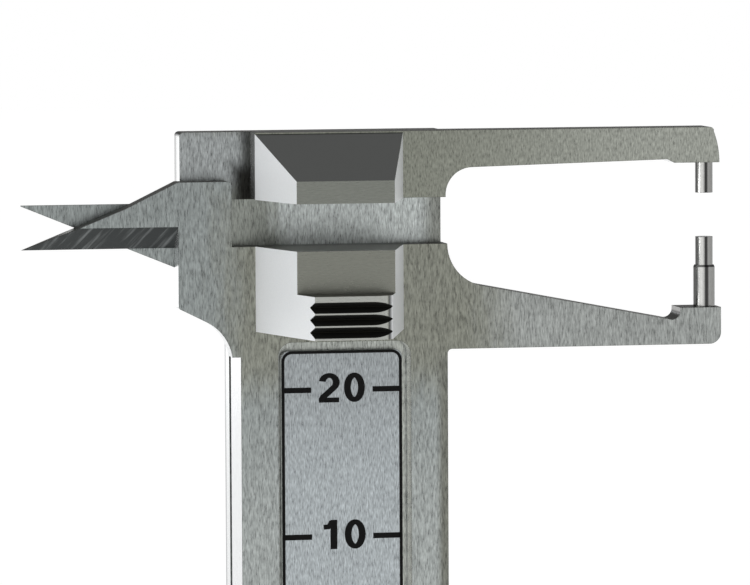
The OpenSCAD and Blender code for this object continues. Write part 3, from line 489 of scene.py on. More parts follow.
@dataclass(frozen=True)
class MetalFinish:
    """A brushed or ground metal.

    Args:
        name: the finish's name.
        tone: its middle colour.
        contrast: how far the grain moves the colour up and down.
        roughness: lowest and highest roughness.
        grain: the way of the brushing.
        fineness: streaks per metre across the grain.
        relief: depth of the grain in metres.
        patches: areas of another tone, some of them painted light and shade.
        faces: kinds of face with a tone of their own, most of them painted light and shade.
        edge: how dark the painted shade along the solid's edges is, from 0 to 1.
        bands: highlights and dark reflections painted along a drawn shaft, as side and grey.
    """

    name: str
    tone: Colour
    contrast: float = 0.57
    roughness: tuple[float, float] = (0.24, 0.4)
    grain: Grain = Grain.UPRIGHT
    fineness: float = 12500.0
    relief: float = 4 * MICRON
    patches: tuple[Patch, ...] = ()
    faces: tuple[FaceTone, ...] = ()
    edge: float = 0.0
    bands: tuple[tuple[float, float], ...] = ()

    def scale(self) -> tuple[float, float, float]:
        """Finds the grain's stretch for this way of brushing.

        Returns:
            Waves per metre along X, Y and Z.
        """
        fine = self.fineness
        long = fine / GRAIN_LENGTH
        return {
            Grain.UPRIGHT: (fine, fine, long),
            Grain.ALONG_ARMS: (long, fine, fine),
            Grain.TURNED: (fine / 2, fine / 2, fine / 2),
            Grain.CLOUDY: (fine * 0.8, fine * 0.8, fine / 4),
        }[self.grain]

    def streaks(self, wires: NodeWires) -> Socket:
        """Makes the grain: fine streaks with broader ones among them.

        Args:
            wires: the material's wires.

        Returns:
            The grain's factor, about 0.5 in the middle.
        """
        fine = wires.grain_noise(self.scale(), 5.0)
        broad = wires.grain_noise(tuple(c * BROAD_GRAIN for c in self.scale()), 2.0)
        return wires.sums(
            "ADD", wires.sums("MULTIPLY", fine, FINE_SHARE), wires.sums("MULTIPLY", broad, 1 - FINE_SHARE))

    def build(self) -> bpy.types.Material:
        """Makes the material with streaks, areas of other tones and a fine relief.

        Returns:
            The material.
        """
        wires, shader = fresh_material(self.name)
        grain = self.streaks(wires)
        colour: Shade = wires.shaft_bands(self.bands) if self.bands else self.tone
        for patch in (p for p in self.patches if not p.on_sides):
            colour = wires.mix(patch.mask(wires), colour, patch.tone)
        rough = wires.spread(grain, *self.roughness)
        level = wires.spread(grain, 1 - self.contrast, 1 + self.contrast)
        metal: Value = 1.0
        for face in self.faces:
            where = wires.facing(face.facing)
            level = wires.between(wires.sums("MULTIPLY", where, FACE_CALM), level, 1.0)
            tone = wires.mix(wires.scratches(*BEVEL_MARKS), face.tone, face.marks) if face.marks else face.tone
            colour = wires.mix(where, colour, tone)
            rough = wires.between(where, rough, face.roughness)
            metal = wires.between(where, metal, face.metal)
        for patch in (p for p in self.patches if p.on_sides):
            colour = wires.mix(patch.mask(wires), colour, patch.tone)
        # Painted shade: a thin dark line along the solid's edges
        if self.edge:
            edge_shade_share = wires.sums("MULTIPLY", wires.edge_lines(EDGE_SHADE_WIDTH), self.edge)
            colour = wires.mix(edge_shade_share, colour, EDGE_SHADE_TONE)
        grey = wires.add("ShaderNodeCombineColor")
        for channel in ("Red", "Green", "Blue"):
            wires.join(level, grey.inputs[channel])
        wires.join(wires.mix(1.0, colour, grey.outputs[0], "MULTIPLY"), shader.inputs["Base Color"])
        wires.join(rough, shader.inputs["Roughness"])
        if isinstance(metal, float):
            shader.inputs["Metallic"].default_value = metal
        else:
            wires.join(metal, shader.inputs["Metallic"])
        wires.relief(grain, self.relief, shader)
        return wires.owner


@dataclass(frozen=True)
class PaintFinish:
    """A matt paint or ink with a faint grain.

    Args:
        name: the finish's name.
        tone: its colour.
        roughness: lowest and highest roughness.
        shine: its specular level.
    """

    name: str
    tone: Colour
    roughness: tuple[float, float] = (0.42, 0.6)
    shine: float = 0.5

    def build(self) -> bpy.types.Material:
        """Makes the paint.

        Returns:
            The material.
        """
        wires, shader = fresh_material(self.name)
        shader.inputs["Specular IOR Level"].default_value = self.shine
        specks = wires.grain_noise((SPECKS, SPECKS, SPECKS), 3.0)
        low = tuple(c * 0.94 for c in self.tone)
        high = tuple(min(1.0, c * 1.06) for c in self.tone)
        wires.join(wires.mix(wires.spread(specks, 0, 1), low, high), shader.inputs["Base Color"])
        wires.join(wires.spread(specks, *self.roughness), shader.inputs["Roughness"])
        wires.relief(specks, 4 * MICRON, shader)
        return wires.owner


@dataclass(frozen=True)
class ClearFinish:
    """A clear plate or crystal that light and shadow pass through.

    Args:
        name: the finish's name.
        tone: its tint.
        opacity: how much of it shows.
        index: its refractive index.
    """

    name: str
    tone: Colour
    opacity: float
    index: float = 1.45

    def build(self) -> bpy.types.Material:
        """Makes the clear finish.

        Returns:
            The material.
        """
        wires, shader = fresh_material(self.name)
        smears = wires.grain_noise((SMEARS, SMEARS, SMEARS), 2.0)
        wires.join(wires.spread(smears, 0.03, 0.09), shader.inputs["Roughness"])
        shader.inputs["Base Color"].default_value = (*self.tone, 1.0)
        shader.inputs["Alpha"].default_value = self.opacity
        shader.inputs["IOR"].default_value = self.index
        return wires.owner


@dataclass
class Finishes:
    """Every finish of the gauge, made once."""

    made: dict[str, bpy.types.Material] = field(default_factory=dict)

    def build(self) -> None:
        """Makes the materials of all the gauge's pieces."""
        for finish in (
            MetalFinish("brushed_plate", (0.285, 0.31, 0.305), edge=EDGE_SHADE_DARKNESS, faces=PLATE_FACES, patches=(
                Patch((5.0, -7.0, 68.5), (11.0, 9.0, 4.2), 4.0, (0.235, 0.24, 0.2), 0.9, 0.5),
                # Painted shade: the side walls in this small area are made near black
                Patch((22.3, -4.0, 67.9), (1.1, 4.0, 0.9), 0.1, (0.06, 0.06, 0.055), on_sides=True),
                Patch((0.0, 0.0, 20.0), (30.0, 0.35, 60.0), 0.3, (0.2, 0.21, 0.22), on_sides=True),
                # Painted light: the window's right wall is made near white
                Patch((4.35, -6.4, 47.0), (0.4, 0.7, 19.5), 0.1, (1.0, 1.0, 0.95), on_sides=True),
                Patch((20.3, -7.0, 66.0), (7.5, 9.0, 3.0), 5.0, (0.345, 0.362, 0.35), 1.0, 0.5),
                Patch((0.0, -7.0, 20.0), (30.0, 9.0, 32.0), 14.0, (0.36, 0.385, 0.375), 1.0, 0.5),
                Patch((7.1, -7.0, 20.0), (0.3, 0.5, 44.0), 0.6, (0.19, 0.195, 0.17)),
            )),
            MetalFinish("brushed_slide", (0.26, 0.275, 0.25), 0.62, edge=EDGE_SHADE_DARKNESS, faces=PAINTED_SIDES_AND_TOPS, patches=(
                Patch((-18.0, -5.1, 74.0), (6.0, 1.0, 6.0), 3.5, (0.29, 0.315, 0.31)),
                Patch((0.0, -5.1, 25.0), (9.0, 1.0, 39.0), 2.5, (0.45, 0.47, 0.44), 1.0, 0.3),
                # Painted shade: the back part of the side walls by the left plate is darkened
                Patch((-11.3, -2.5, 76.0), (1.5, 1.1, 6.0), 0.3, (0.14, 0.145, 0.145), on_sides=True),
                # Painted light on the slide where it shows in the gap over the fixed head: a lighter band that
                # lifts the shade there, darker again at its right end
                Patch((3.5, -5.1, 74.3), (7.0, 1.0, 2.3), 1.3, (0.46, 0.49, 0.48), 1.0, 0.5),
                Patch((6.9, -5.1, 74.0), (0.3, 1.0, 1.8), 1.2, (0.24, 0.25, 0.23)),
                # Painted light: the middle of the recessed left plate is lighter, so it darkens towards the moving
                # block and the bottom
                Patch((-8.7, -5.1, 77.9), (2.0, 1.0, 1.2), 1.3, (0.34, 0.36, 0.36), 1.0, 0.3),
                # Painted shade: near black in the corner between the fixed jaw's right wall and the moving block's
                # left side
                Patch((-6.3, -5.1, 75.6), (0.2, 1.0, 1.0), 1.5, (0.015, 0.015, 0.013), 1.0, 0.1, 75.1),
                Patch((-6.2, -5.1, 77.0), (0.1, 1.0, 3.0), 0.9, (0.02, 0.02, 0.018), 0.8, 0.1, 75.1),
            )),
            MetalFinish("brushed_scale", (0.33, 0.355, 0.365), 0.55, edge=EDGE_SHADE_DARKNESS, faces=PAINTED_SIDES_AND_TOPS, patches=(
                Patch((0.0, -5.8, 30.0), (5.0, 1.0, 24.0), 12.0, (0.41, 0.445, 0.46), 1.0, 0.5),
            )),
            MetalFinish(
                "brushed_arm", (0.25, 0.26, 0.22), 0.52, grain=Grain.CLOUDY, edge=EDGE_SHADE_DARKNESS, faces=PAINTED_SIDES_AND_TOPS,
                patches=(Patch((27.0, -7.0, 77.0), (4.0, 9.0, 9.0), 20.0, (0.37, 0.385, 0.345), 1.0, 0.5),)),
            MetalFinish("ridged_block", (0.225, 0.23, 0.2), 0.16, grain=Grain.ALONG_ARMS, faces=(
                # Painted light: side walls made white as if lit; the groove faces are black
                PAINTED_WHITE_SIDES,
                FaceTone(Facing.TOPS, (0.24, 0.24, 0.21), roughness=0.3),
                FaceTone(Facing.GROOVES, GROOVE_BLACK, 0.2, 0.6),
            ), patches=(
                # Painted shade: a dark band low on the block's plain front face
                Patch((-1.0, -13.3, 67.6), (2.9, 0.8, 0.5), 1.5, (0.08, 0.083, 0.068)),
                # Painted light: the ridges' left faces are made white
                Patch((-7.75, -16.1, 67.0), (4.0, 2.4, 9.0), 0.05, PAINTED_LIT_WALL),
                # Painted highlight: the ridge crests are made lighter
                Patch((1.0, -16.1, 67.0), (4.7, 0.5, 9.0), 0.1, (0.42, 0.43, 0.4)),
                Patch((-1.0, -15.25, 67.0), (9.0, 0.2, 9.0), 0.1, GROOVE_BLACK),
            )),
            MetalFinish("sloped_block", (0.225, 0.235, 0.21), 0.16, grain=Grain.ALONG_ARMS, faces=(
                # Painted light: side walls made white as if lit
                PAINTED_WHITE_SIDES,
                # Painted tone on the sloped top, set by the way it faces, standing in for how light falls on it
                FaceTone(Facing.GROOVES, (0.34, 0.35, 0.34), 1.0, 0.2),
            )),
            # Painted reflections: light and dark stripes along the pins by the side they face, and painted shade
            # along their edges
            MetalFinish("drawn_pin", (0.4, 0.4, 0.39), 0.14, (0.14, 0.24), edge=0.8, bands=(
                (-1.0, 0.04), (-0.9, 0.1), (-0.78, 0.6), (-0.4, 0.66), (-0.22, 0.4), (-0.1, 0.04), (0.12, 0.05),
                (0.25, 0.3), (0.75, 0.24), (0.93, 0.04),
            )),
            MetalFinish("screw_steel", (0.2, 0.2, 0.205), 0.2, grain=Grain.TURNED),
            MetalFinish("blued_strip", (0.03, 0.05, 0.16), 0.2, grain=Grain.TURNED),
            MetalFinish("satin_chrome", (0.5, 0.505, 0.51), 0.08, (0.16, 0.26), Grain.TURNED),
            MetalFinish("rolled_brass", (0.56, 0.38, 0.12), 0.14, grain=Grain.TURNED),
            PaintFinish("dial_white", (0.83, 0.83, 0.8)),
            PaintFinish("print_black", (0.006, 0.006, 0.006), (0.6, 0.75), 0.12),
            ClearFinish("crystal_clear", (0.8, 0.85, 0.9), 0.06),
        ):
            self.made[finish.name] = finish.build()
            LOG.info("finish %s", finish.name)

    def dress(self, finish: str, *nodes: str) -> None:
        """Gives solids of the frame a finish.

        Args:
            finish: the finish's name.
            nodes: the solids' names.
        """
        for name in nodes:
            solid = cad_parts[name]
            solid.data.materials.clear()
            solid.data.materials.append(self.made[finish])
            LOG.info("dressed %s in %s", name, finish)


def soften(name: str, width: float) -> None:
    """Rounds a solid's sharp edges a little, so that they catch the light.

    Args:
        name: the solid's name.
        width: the rounding's width in metres.
    """
    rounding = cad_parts[name].modifiers.new("soft_edges", "BEVEL")
    rounding.width = width
    rounding.segments = 2
    rounding.limit_method = "ANGLE"
    rounding.angle_limit = math.radians(SHARP_ANGLE)
    rounding.harden_normals = False


def mesh_piece(
    name: str, make: bmesh.types.BMesh, body: str, finish: bpy.types.Material,
) -> bpy.types.Object:
    """Turns a mesh into a piece that rides on a body.

    Args:
        name: the piece's name.
        make: its mesh, in the part's frame.
        body: the body that carries it.
        finish: its material.

    Returns:
        The piece.
    """
    mesh = bpy.data.meshes.new(name)
    make.to_mesh(mesh)
    make.free()
    mesh.materials.append(finish)
    piece = bpy.data.objects.new(name, mesh)
    bpy.context.collection.objects.link(piece)
    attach(piece, body)
    LOG.info("built %s", name)
    return piece


# Sizes of the printed figures, as shares of their height
FIGURE_W = 0.72
FIGURE_GAP = 0.145
PEN_H = 0.165
PEN_W = 0.235
LEFT, RIGHT = PEN_W / 2, FIGURE_W - PEN_W / 2
FOOT, TOP = PEN_H / 2, 1 - PEN_H / 2

# Steps of round strokes and corners in degrees, fewest steps of a stroke, and how far a bend widens the pen
BOW_STEP = 12
BOW_LEAST = 6
CORNER_STEP = 15
WIDEST_BEND = 1.4


def bow(
    low: float, high: float, start: float, end: float, left: float = LEFT, right: float = RIGHT,
) -> list[Vector]:
    """A round stretch of a figure, between two heights and two sides.

    Args:
        low: its lowest height, as a share of the figure's height.
        high: its highest height.
        start: its first direction in degrees.
        end: its last direction in degrees.
        left: its left side.
        right: its right side.

    Returns:
        Its points.
    """
    count = max(BOW_LEAST, round(abs(end - start) / BOW_STEP))
    turns = [math.radians(start + (end - start) * i / count) for i in range(count + 1)]
    middle, reach = Vector(((left + right) / 2, (low + high) / 2)), ((right - left) / 2, (high - low) / 2)
    points = [middle + Vector((reach[0] * math.cos(t), reach[1] * math.sin(t))) for t in turns]
    if abs(end - start) == 360:
        points[-1] = points[0]
    return points


def line(*points: tuple[float, float]) -> list[Vector]:
    """A straight or bent stroke of a figure.

    Args:
        points: its corners.

    Returns:
        The corners as vectors.
    """
    return [Vector(p) for p in points]


FIGURES = {
    "0": [bow(FOOT, TOP, 0, 360)],
    "1": [line((0.49, 0.0), (0.49, 1.0)), line((0.14, 0.755), (0.3, 0.765), (0.38, 0.82), (0.45, 0.95))],
    "2": [bow(0.45, TOP, 172, -38) + line((0.32, 0.33), (0.15, 0.19), (0.1, 0.06)), line((0.0, FOOT), (0.7, FOOT))],
    "3": [bow(0.52, TOP, 165, -85, LEFT, RIGHT - 0.02) + line((0.3, 0.52)), bow(FOOT, 0.52, 85, -165)],
    "4": [line((0.5, 0.0), (0.5, 1.0)), line((0.48, 0.93), (0.08, 0.32)), line((0.02, 0.28), (0.72, 0.28))],
    "5": [line((0.66, TOP), (0.19, TOP), (0.13, 0.46)), bow(FOOT, 0.62, 140, -160)],
    "6": [bow(FOOT, TOP, 40, 180) + line((LEFT, 0.3)), bow(FOOT, 0.6, 0, 360)],
    "7": [line((0.02, TOP), (0.66, TOP), (0.45, 0.55), (0.3, 0.0))],
    "8": [bow(0.53, TOP, 0, 360, LEFT + 0.03, RIGHT - 0.03), bow(FOOT, 0.53, 0, 360)],
    "9": [bow(FOOT, TOP, -140, 0) + line((RIGHT, 0.7)), bow(0.4, TOP, 0, 360)],
}


@dataclass
class Ink:
    """Printed marks: flat bars, outlines and figures just proud of the surface they are printed on.

    Args:
        front: depth of the printed surface, as Y in metres.
        thick: least thickness of the ink in metres.
        layers: how many thicknesses take turns.
        layer_step: the step between two of them, as a share of the least.
        mesh: the marks' mesh.
    """

    front: float
    thick: float = 10 * MICRON
    layers: int = 4
    layer_step: float = 0.35
    mesh: bmesh.types.BMesh = field(default_factory=bmesh.new)

    def patch(self, corners: list[tuple[float, float]]) -> None:
        """Adds one flat patch of ink, as thick as no patch next to it, so that their fronts don't lie in one plane.

        Args:
            corners: its corners as X and Z, in metres.
        """
        count = len(corners)
        layer = len(self.mesh.faces) // (count + 2) % self.layers
        thick = self.thick * (1 + self.layer_step * layer)
        near = [self.mesh.verts.new((x, self.front - thick, z)) for x, z in corners]
        far = [self.mesh.verts.new((x, self.front, z)) for x, z in corners]
        self.mesh.faces.new(near)
        self.mesh.faces.new(list(reversed(far)))
        for i in range(count):
            self.mesh.faces.new((near[i], far[i], far[(i + 1) % count], near[(i + 1) % count]))

    def bar(self, x: float, z: float, width: float, height: float) -> None:
        """Adds an upright bar round a middle point.

        Args:
            x: its middle.
            z: its middle.
            width: its width.
            height: its height.
        """
        w, h = width / 2, height / 2
        self.patch([(x - w, z - h), (x + w, z - h), (x + w, z + h), (x - w, z + h)])

    def tick(self, angle: float, inner: float, outer: float, width: float) -> None:
        """Adds a line along a radius of the dial.

        Args:
            angle: its direction, clockwise from the top, in radians.
            inner: its inner radius.
            outer: its outer radius.
            width: its width.
        """
        along = Vector((math.sin(angle), math.cos(angle)))
        side = Vector((along.y, -along.x)) * width / 2
        ends = [along * inner - side, along * inner + side, along * outer + side, along * outer - side]
        self.patch([(p.x, p.y) for p in ends])

    def strip(self, path: list[Vector], width: float, closed: bool = False, wide: float = 1.0) -> None:
        """Adds a line along a path, drawn with a pen that may be wider than it is high.

        Args:
            path: its middle line as X and Z, in metres.
            width: the pen's height.
            closed: whether the line closes on itself.
            wide: the pen's width as a share of its height.
        """
        path = [Vector((p.x / wide, p.y)) for p in path]
        count = len(path)
        sides = []
        for i, point in enumerate(path):
            before = path[i - 1] if closed or i > 0 else point
            after = path[(i + 1) % count] if closed or i < count - 1 else point
            way = (after - before).normalized()
            into = (point - before).normalized() if before != point else way
            stretch = 1 / max(0.5, into.dot(way))
            sides.append(Vector((-way.y, way.x)) * width / 2 * min(stretch, WIDEST_BEND))
        for i in range(count if closed else count - 1):
            j = (i + 1) % count
            corners = (path[i] - sides[i], path[j] - sides[j], path[j] + sides[j], path[i] + sides[i])
            self.patch([(p.x * wide, p.y) for p in corners])

    def number(self, text: str, x: float, z: float, height: float) -> None:
        """Adds a number in plain bold figures, centred on a point.

        Args:
            text: its digits.
            x: its middle.
            z: its middle.
            height: the figures' height.
        """
        step = (FIGURE_W + FIGURE_GAP) * height
        left = x - (step * len(text) - FIGURE_GAP * height) / 2
        corner = Vector((left, z - height / 2))
        for digit in text:
            for path in FIGURES[digit]:
                closed = path[0] == path[-1]
                points = [corner + p * height for p in (path[:-1] if closed else path)]
                self.strip(points, PEN_H * height, closed, PEN_W / PEN_H)
            corner = corner + Vector((step, 0))


@dataclass
class FixedBody:
    """The stem, the fixed head with its arm, the rear cover and the printed scale.

    Args:
        cut: height of the fixed head's top edge.
        zero_drop: drop of the scale's zero below that edge.
        plate_front: Y of the printed plate's front.
        outline_x: half width of the printed outline.
        outline_top: its top below the head's edge.
        outline_low: its foot below the head's edge.
        outline_w: its line width.
        outline_r: radius of its corners.
        dash: inner and outer end of each dash.
        dash_h: height of each dash.
        figure_h: height of the numbers.
        figure_rise: how far the figures stand above the dashes' middle.
    """

    cut: float = 72 * MM
    zero_drop: float = 29.87 * MM
    plate_front: float = -5.85 * MM
    outline_x: float = 4.04 * MM
    outline_top: float = 7.3 * MM
    outline_low: float = 32.3 * MM
    outline_w: float = 0.2 * MM
    outline_r: float = 0.6 * MM
    dash: tuple[float, float] = (2.11 * MM, 4.0 * MM)
    dash_h: float = 0.37 * MM
    figure_h: float = 2.0 * MM
    figure_rise: float = 0.14 * MM

    def dress(self, finishes: Finishes) -> None:
        """Gives the fixed solids their finishes.

        Args:
            finishes: the gauge's finishes.
        """
        finishes.dress("brushed_plate", "front_body", "rear_cover")
        finishes.dress("brushed_scale", "scale_plate")
        finishes.dress("ridged_block", "fixed_thumb_block")
        finishes.dress("drawn_pin", "fixed_anvil_pin", "fixed_anvil_sleeve")
        finishes.dress("screw_steel", "cover_screws", "scale_screws", "fixed_block_screws",
                       "travel_stop_pin", "gib_screws")
        finishes.dress("drawn_pin", "gib_spring")
        for name in ("front_body", "rear_cover", "fixed_thumb_block"):
            soften(name, SOFT_EDGE)

    def print_scale(self, finishes: Finishes) -> None:
        """Prints the outline, the dashes and the numbers 0, 10 and 20 on the scale plate.

        Args:
            finishes: the gauge's finishes.
        """
        ink = Ink(self.plate_front)
        top, low, r = self.cut - self.outline_top, self.cut - self.outline_low, self.outline_r
        path = []
        for cx, cz, start in ((1, 1, 0), (-1, 1, 90), (-1, -1, 180), (1, -1, 270)):
            middle = Vector((cx * (self.outline_x - r), (top - r) if cz > 0 else (low + r)))
            for turn in range(0, 90 + CORNER_STEP, CORNER_STEP):
                a = math.radians(start + turn)
                path.append(middle + Vector((math.cos(a), math.sin(a))) * r)
        ink.strip(path, self.outline_w, closed=True)
        for value in (0, 10, 20):
            z = self.cut - self.zero_drop + value * MM
            ink.number(str(value), 0.0, z + self.figure_rise, self.figure_h)
            for side in (-1, 1):
                ink.bar(side * sum(self.dash) / 2, z, self.dash[1] - self.dash[0], self.dash_h)
        mesh_piece("scale_print", ink.mesh, "root", finishes.made["print_black"])


@dataclass
class Slide:
    """The moving plate with the rear jaw, the upper arm, its block and its anvil."""

    def dress(self, finishes: Finishes) -> None:
        """Gives the moving solids their finishes.

        Args:
            finishes: the gauge's finishes.
        """
        finishes.dress("brushed_slide", "slide_plate")
        finishes.dress("brushed_arm", "upper_arm")
        finishes.dress("sloped_block", "moving_thumb_block")
        finishes.dress("drawn_pin", "moving_anvil_pin")
        finishes.dress("screw_steel", "arm_screws", "thumb_block_screws", "rack_screws")
        finishes.dress("rolled_brass", "rack")
        finishes.dress("print_black", "index_cursor")
        for name in ("slide_plate", "upper_arm", "moving_thumb_block"):
            soften(name, SOFT_EDGE)


@dataclass
class DialUnit:
    """The dial's housing, bezel, face, pointer and movement.

    Args:
        face_front: Y of the printed face.
        outer: outer radius of the divisions.
        lengths: lengths of the 10th, 5th and single divisions.
        widths: widths of the same.
        divisions: how many divisions go round.
        figure_r: radius of the circle of figures.
        figure_h: height of the figures.
    """

    face_front: float = -11.65 * MM
    outer: float = 17.0 * MM
    lengths: tuple[float, float, float] = (3.0 * MM, 2.3 * MM, 1.6 * MM)
    widths: tuple[float, float, float] = (0.26 * MM, 0.2 * MM, 0.14 * MM)
    divisions: int = 100
    figure_r: float = 12.2 * MM
    figure_h: float = 2.2 * MM

    def dress(self, finishes: Finishes) -> None:
        """Gives the dial's solids their finishes.

        Args:
            finishes: the gauge's finishes.
        """
        finishes.dress("brushed_plate", "dial_housing", "bezel_clamp")
        finishes.dress("satin_chrome", "bezel", "dial_ring", "bezel_clamp_screw")
        finishes.dress("dial_white", "dial_face")
        finishes.dress("crystal_clear", "crystal")
        finishes.dress("print_black", "pointer")
        finishes.dress("rolled_brass", "pointer_cap", "pinion_arbor", "take_up_wheel", "front_bush", "rear_bush",
                       "movement_bridge", "hairspring_stud")
        finishes.dress("screw_steel", "housing_screws", "bridge_screws", "take_up_post")
        finishes.dress("blued_strip", "hairspring")
        finishes.dress("drawn_pin", "bezel_snap_wire")
        for name in ("dial_housing", "bezel", "bezel_clamp", "bezel_clamp_screw"):
            soften(name, SOFT_DIAL_EDGE)

    def print_face(self, finishes: Finishes) -> None:
        """Prints a hundred divisions and the figures 0 to 9 on the face.

        Args:
            finishes: the gauge's finishes.
        """
        ink = Ink(self.face_front)
        for i in range(self.divisions):
            rank = 0 if i % 10 == 0 else 1 if i % 5 == 0 else 2
            a = 2 * math.pi * i / self.divisions
            ink.tick(a, self.outer - self.lengths[rank], self.outer, self.widths[rank])
        for i in range(len(FIGURES)):
            a = 2 * math.pi * i / len(FIGURES)
            ink.number(str(i), self.figure_r * math.sin(a), self.figure_r * math.cos(a), self.figure_h)
        mesh_piece("dial_print", ink.mesh, "bezel", finishes.made["print_black"])


@dataclass(frozen=True)
class Lamp:
    """One soft box.

    Args:
        name: the lamp's name.
        place: its place in metres.
        aim: the point that it faces.
        size: its width and height in metres.
        watts: its power.
    """

    name: str
    place: Point
    aim: Point
    size: tuple[float, float]
    watts: float

    def hang(self) -> None:
        """Hangs the lamp, out of the camera's sight."""
        data = bpy.data.lights.new(self.name, "AREA")
        data.shape = "RECTANGLE"
        data.size, data.size_y = self.size
        data.energy = self.watts
        lamp = bpy.data.objects.new(self.name, data)
        bpy.context.collection.objects.link(lamp)
        lamp.location = self.place
        lamp.rotation_mode = "QUATERNION"
        lamp.rotation_quaternion = (Vector(self.place) - Vector(self.aim)).to_track_quat("Z", "Y")
        lamp.visible_camera = False
        LOG.info("lamp %s", self.name)


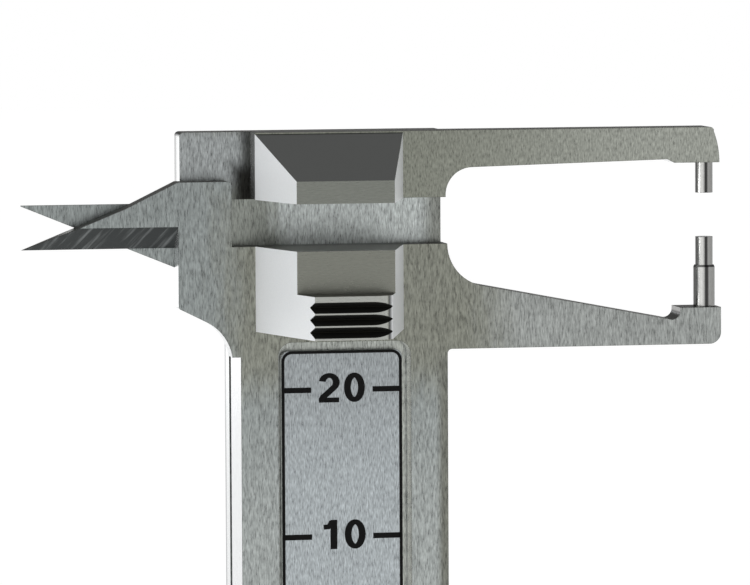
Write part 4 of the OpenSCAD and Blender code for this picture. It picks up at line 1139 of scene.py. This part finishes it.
@dataclass
class Studio:
    """The camera, a pale floor and plain soft light.

    Args:
        aim: the point the camera looks at.
        distance: the camera's distance from it.
        azimuth: the camera's direction round the object.
        elevation: the camera's height angle.
        roll: the camera's small tilt.
        lens: focal length in millimetres.
        sensor: the sensor's width in millimetres.
        clip: nearest and farthest distance that the camera sees.
        floor_z: height of the floor.
        floor_r: radius of the floor.
        floor_tone: colour of the floor.
        white_strength: strength of the floor's own white.
        white_share: how much of that white the camera sees, over the lit floor.
        room: greys of the room in reflections, each with its height from 0 below to 1 above.
        room_strength: strength of those greys.
        soft_strength: strength of the room's plain light.
        lamps: the soft boxes.
    """

    aim: Point = (2.106 * MM, -7.0 * MM, 68.764 * MM)
    distance: float = 388.5 * MM
    azimuth: float = -10.5
    elevation: float = 3.97
    roll: float = 0.3
    lens: float = 276.0
    sensor: float = 36.0
    clip: tuple[float, float] = (0.02, 20.0)
    floor_z: float = -30.95 * MM
    floor_r: float = 3.0
    floor_tone: Colour = (0.9, 0.9, 0.9)
    white_strength: float = 1.15
    white_share: float = 0.715
    room: tuple[tuple[float, float], ...] = (
        (0.0, 0.8), (0.5, 1.0), (0.53, 0.9), (0.56, 0.13), (0.7, 0.13), (0.85, 0.25), (1.0, 0.2))
    room_strength: float = 0.85
    soft_strength: float = 0.75
    lamps: tuple[Lamp, ...] = (
        Lamp("behind", (-0.22, 1.0, 0.0), (0.0, 0.0, 0.05), (0.55, 0.12), 0.07),
        Lamp("left", (-0.9, -0.12, 0.14), (0.0, 0.0, 0.06), (0.5, 0.5), 2.5))

    def place_camera(self) -> None:
        """Puts the camera where the photograph was taken from."""
        a, e, t = math.radians(self.azimuth), math.radians(self.elevation), math.radians(self.roll)
        back = Vector((math.sin(a) * math.cos(e), -math.cos(a) * math.cos(e), math.sin(e)))
        right = Vector((math.cos(a), math.sin(a), 0.0))
        up = back.cross(right)
        side = right * math.cos(t) - up * math.sin(t)
        top = right * math.sin(t) + up * math.cos(t)
        data = bpy.data.cameras.new("camera")
        data.lens = self.lens
        data.sensor_width = self.sensor
        data.clip_start, data.clip_end = self.clip
        camera = bpy.data.objects.new("camera", data)
        bpy.context.collection.objects.link(camera)
        place = Vector(self.aim) + back * self.distance
        camera.matrix_world = Matrix((
            (side.x, top.x, back.x, place.x), (side.y, top.y, back.y, place.y),
            (side.z, top.z, back.z, place.z), (0, 0, 0, 1)))
        bpy.context.scene.camera = camera
        LOG.info("camera placed")

    def backdrop_white(self, wires: NodeWires, lit: bpy.types.Node, out: bpy.types.Node) -> None:
        """Shows near white to the camera, keeping the shadow, and plain white to glossy and clear surfaces.

        Args:
            wires: the material's wires.
            lit: the shader that catches light and shadow.
            out: the material's output.
        """
        rays = wires.add("ShaderNodeLightPath").outputs
        white = wires.add("ShaderNodeEmission")
        white.inputs["Strength"].default_value = self.white_strength
        mirrored = wires.sums("MAXIMUM", rays["Is Glossy Ray"], rays["Is Transmission Ray"])
        seen = wires.sums("MULTIPLY", rays["Is Camera Ray"], self.white_share)
        mix = wires.mix_shaders(wires.sums("MAXIMUM", mirrored, seen), lit, white)
        wires.join(mix.outputs[0], out.inputs["Surface"])

    def lay_floor(self) -> None:
        """Lays the pale floor under the gauge."""
        wires, shader = fresh_material("floor_white")
        shader.inputs["Base Color"].default_value = (*self.floor_tone, 1.0)
        shader.inputs["Roughness"].default_value = 0.9
        out = next(n for n in wires.owner.node_tree.nodes if n.type == "OUTPUT_MATERIAL")
        self.backdrop_white(wires, shader, out)
        make = bmesh.new()
        bmesh.ops.create_circle(make, cap_ends=True, segments=64, radius=self.floor_r)
        mesh = bpy.data.meshes.new("floor")
        make.to_mesh(mesh)
        make.free()
        mesh.materials.append(wires.owner)
        floor = bpy.data.objects.new("floor", mesh)
        floor.location = (0, 0, self.floor_z)
        bpy.context.collection.objects.link(floor)
        LOG.info("floor laid")

    def light_world(self) -> None:
        """Lights the room: white to the camera, greys by height in reflections, plain light on the rest."""
        world = bpy.data.worlds.new("room")
        bpy.context.scene.world = world
        world.use_nodes = True
        world.node_tree.nodes.clear()
        wires = NodeWires(world)
        place = wires.add("ShaderNodeTexCoord")
        parts = wires.add("ShaderNodeSeparateXYZ")
        wires.join(place.outputs["Generated"], parts.inputs[0])
        ramp = wires.add("ShaderNodeValToRGB")
        stops = ramp.color_ramp.elements
        while len(stops) < len(self.room):
            stops.new(0.5)
        for stop, (height, grey) in zip(stops, self.room):
            stop.position = height
            stop.color = (grey, grey, grey, 1)
        wires.join(wires.from_signed(parts.outputs["Z"]), ramp.inputs[0])
        greys, soft, white = (wires.add("ShaderNodeBackground") for _ in range(3))
        wires.join(ramp.outputs[0], greys.inputs["Color"])
        greys.inputs["Strength"].default_value = self.room_strength
        for plain, strength in ((soft, self.soft_strength), (white, 1.0)):
            plain.inputs["Color"].default_value = (1, 1, 1, 1)
            plain.inputs["Strength"].default_value = strength
        rays = wires.add("ShaderNodeLightPath").outputs
        mix = wires.mix_shaders(rays["Is Glossy Ray"], soft, greys)
        mix = wires.mix_shaders(rays["Is Camera Ray"], mix, white)
        wires.join(mix.outputs[0], wires.add("ShaderNodeOutputWorld").inputs["Surface"])
        LOG.info("room lit")

    def build(self) -> None:
        """Builds the camera, the floor and the light."""
        bpy.context.scene.view_settings.view_transform = "Standard"
        self.place_camera()
        self.lay_floor()
        self.light_world()
        for lamp in self.lamps:
            lamp.hang()


def main() -> None:
    """Builds and dresses the gauge."""
    logging.basicConfig(level=logging.INFO, format="%(name)s: %(message)s")
    finishes = Finishes()
    finishes.build()
    Studio().build()
    body = FixedBody()
    body.dress(finishes)
    body.print_scale(finishes)
    Slide().dress(finishes)
    dial = DialUnit()
    dial.dress(finishes)
    dial.print_face(finishes)


if __name__ == "__main__":
    main()
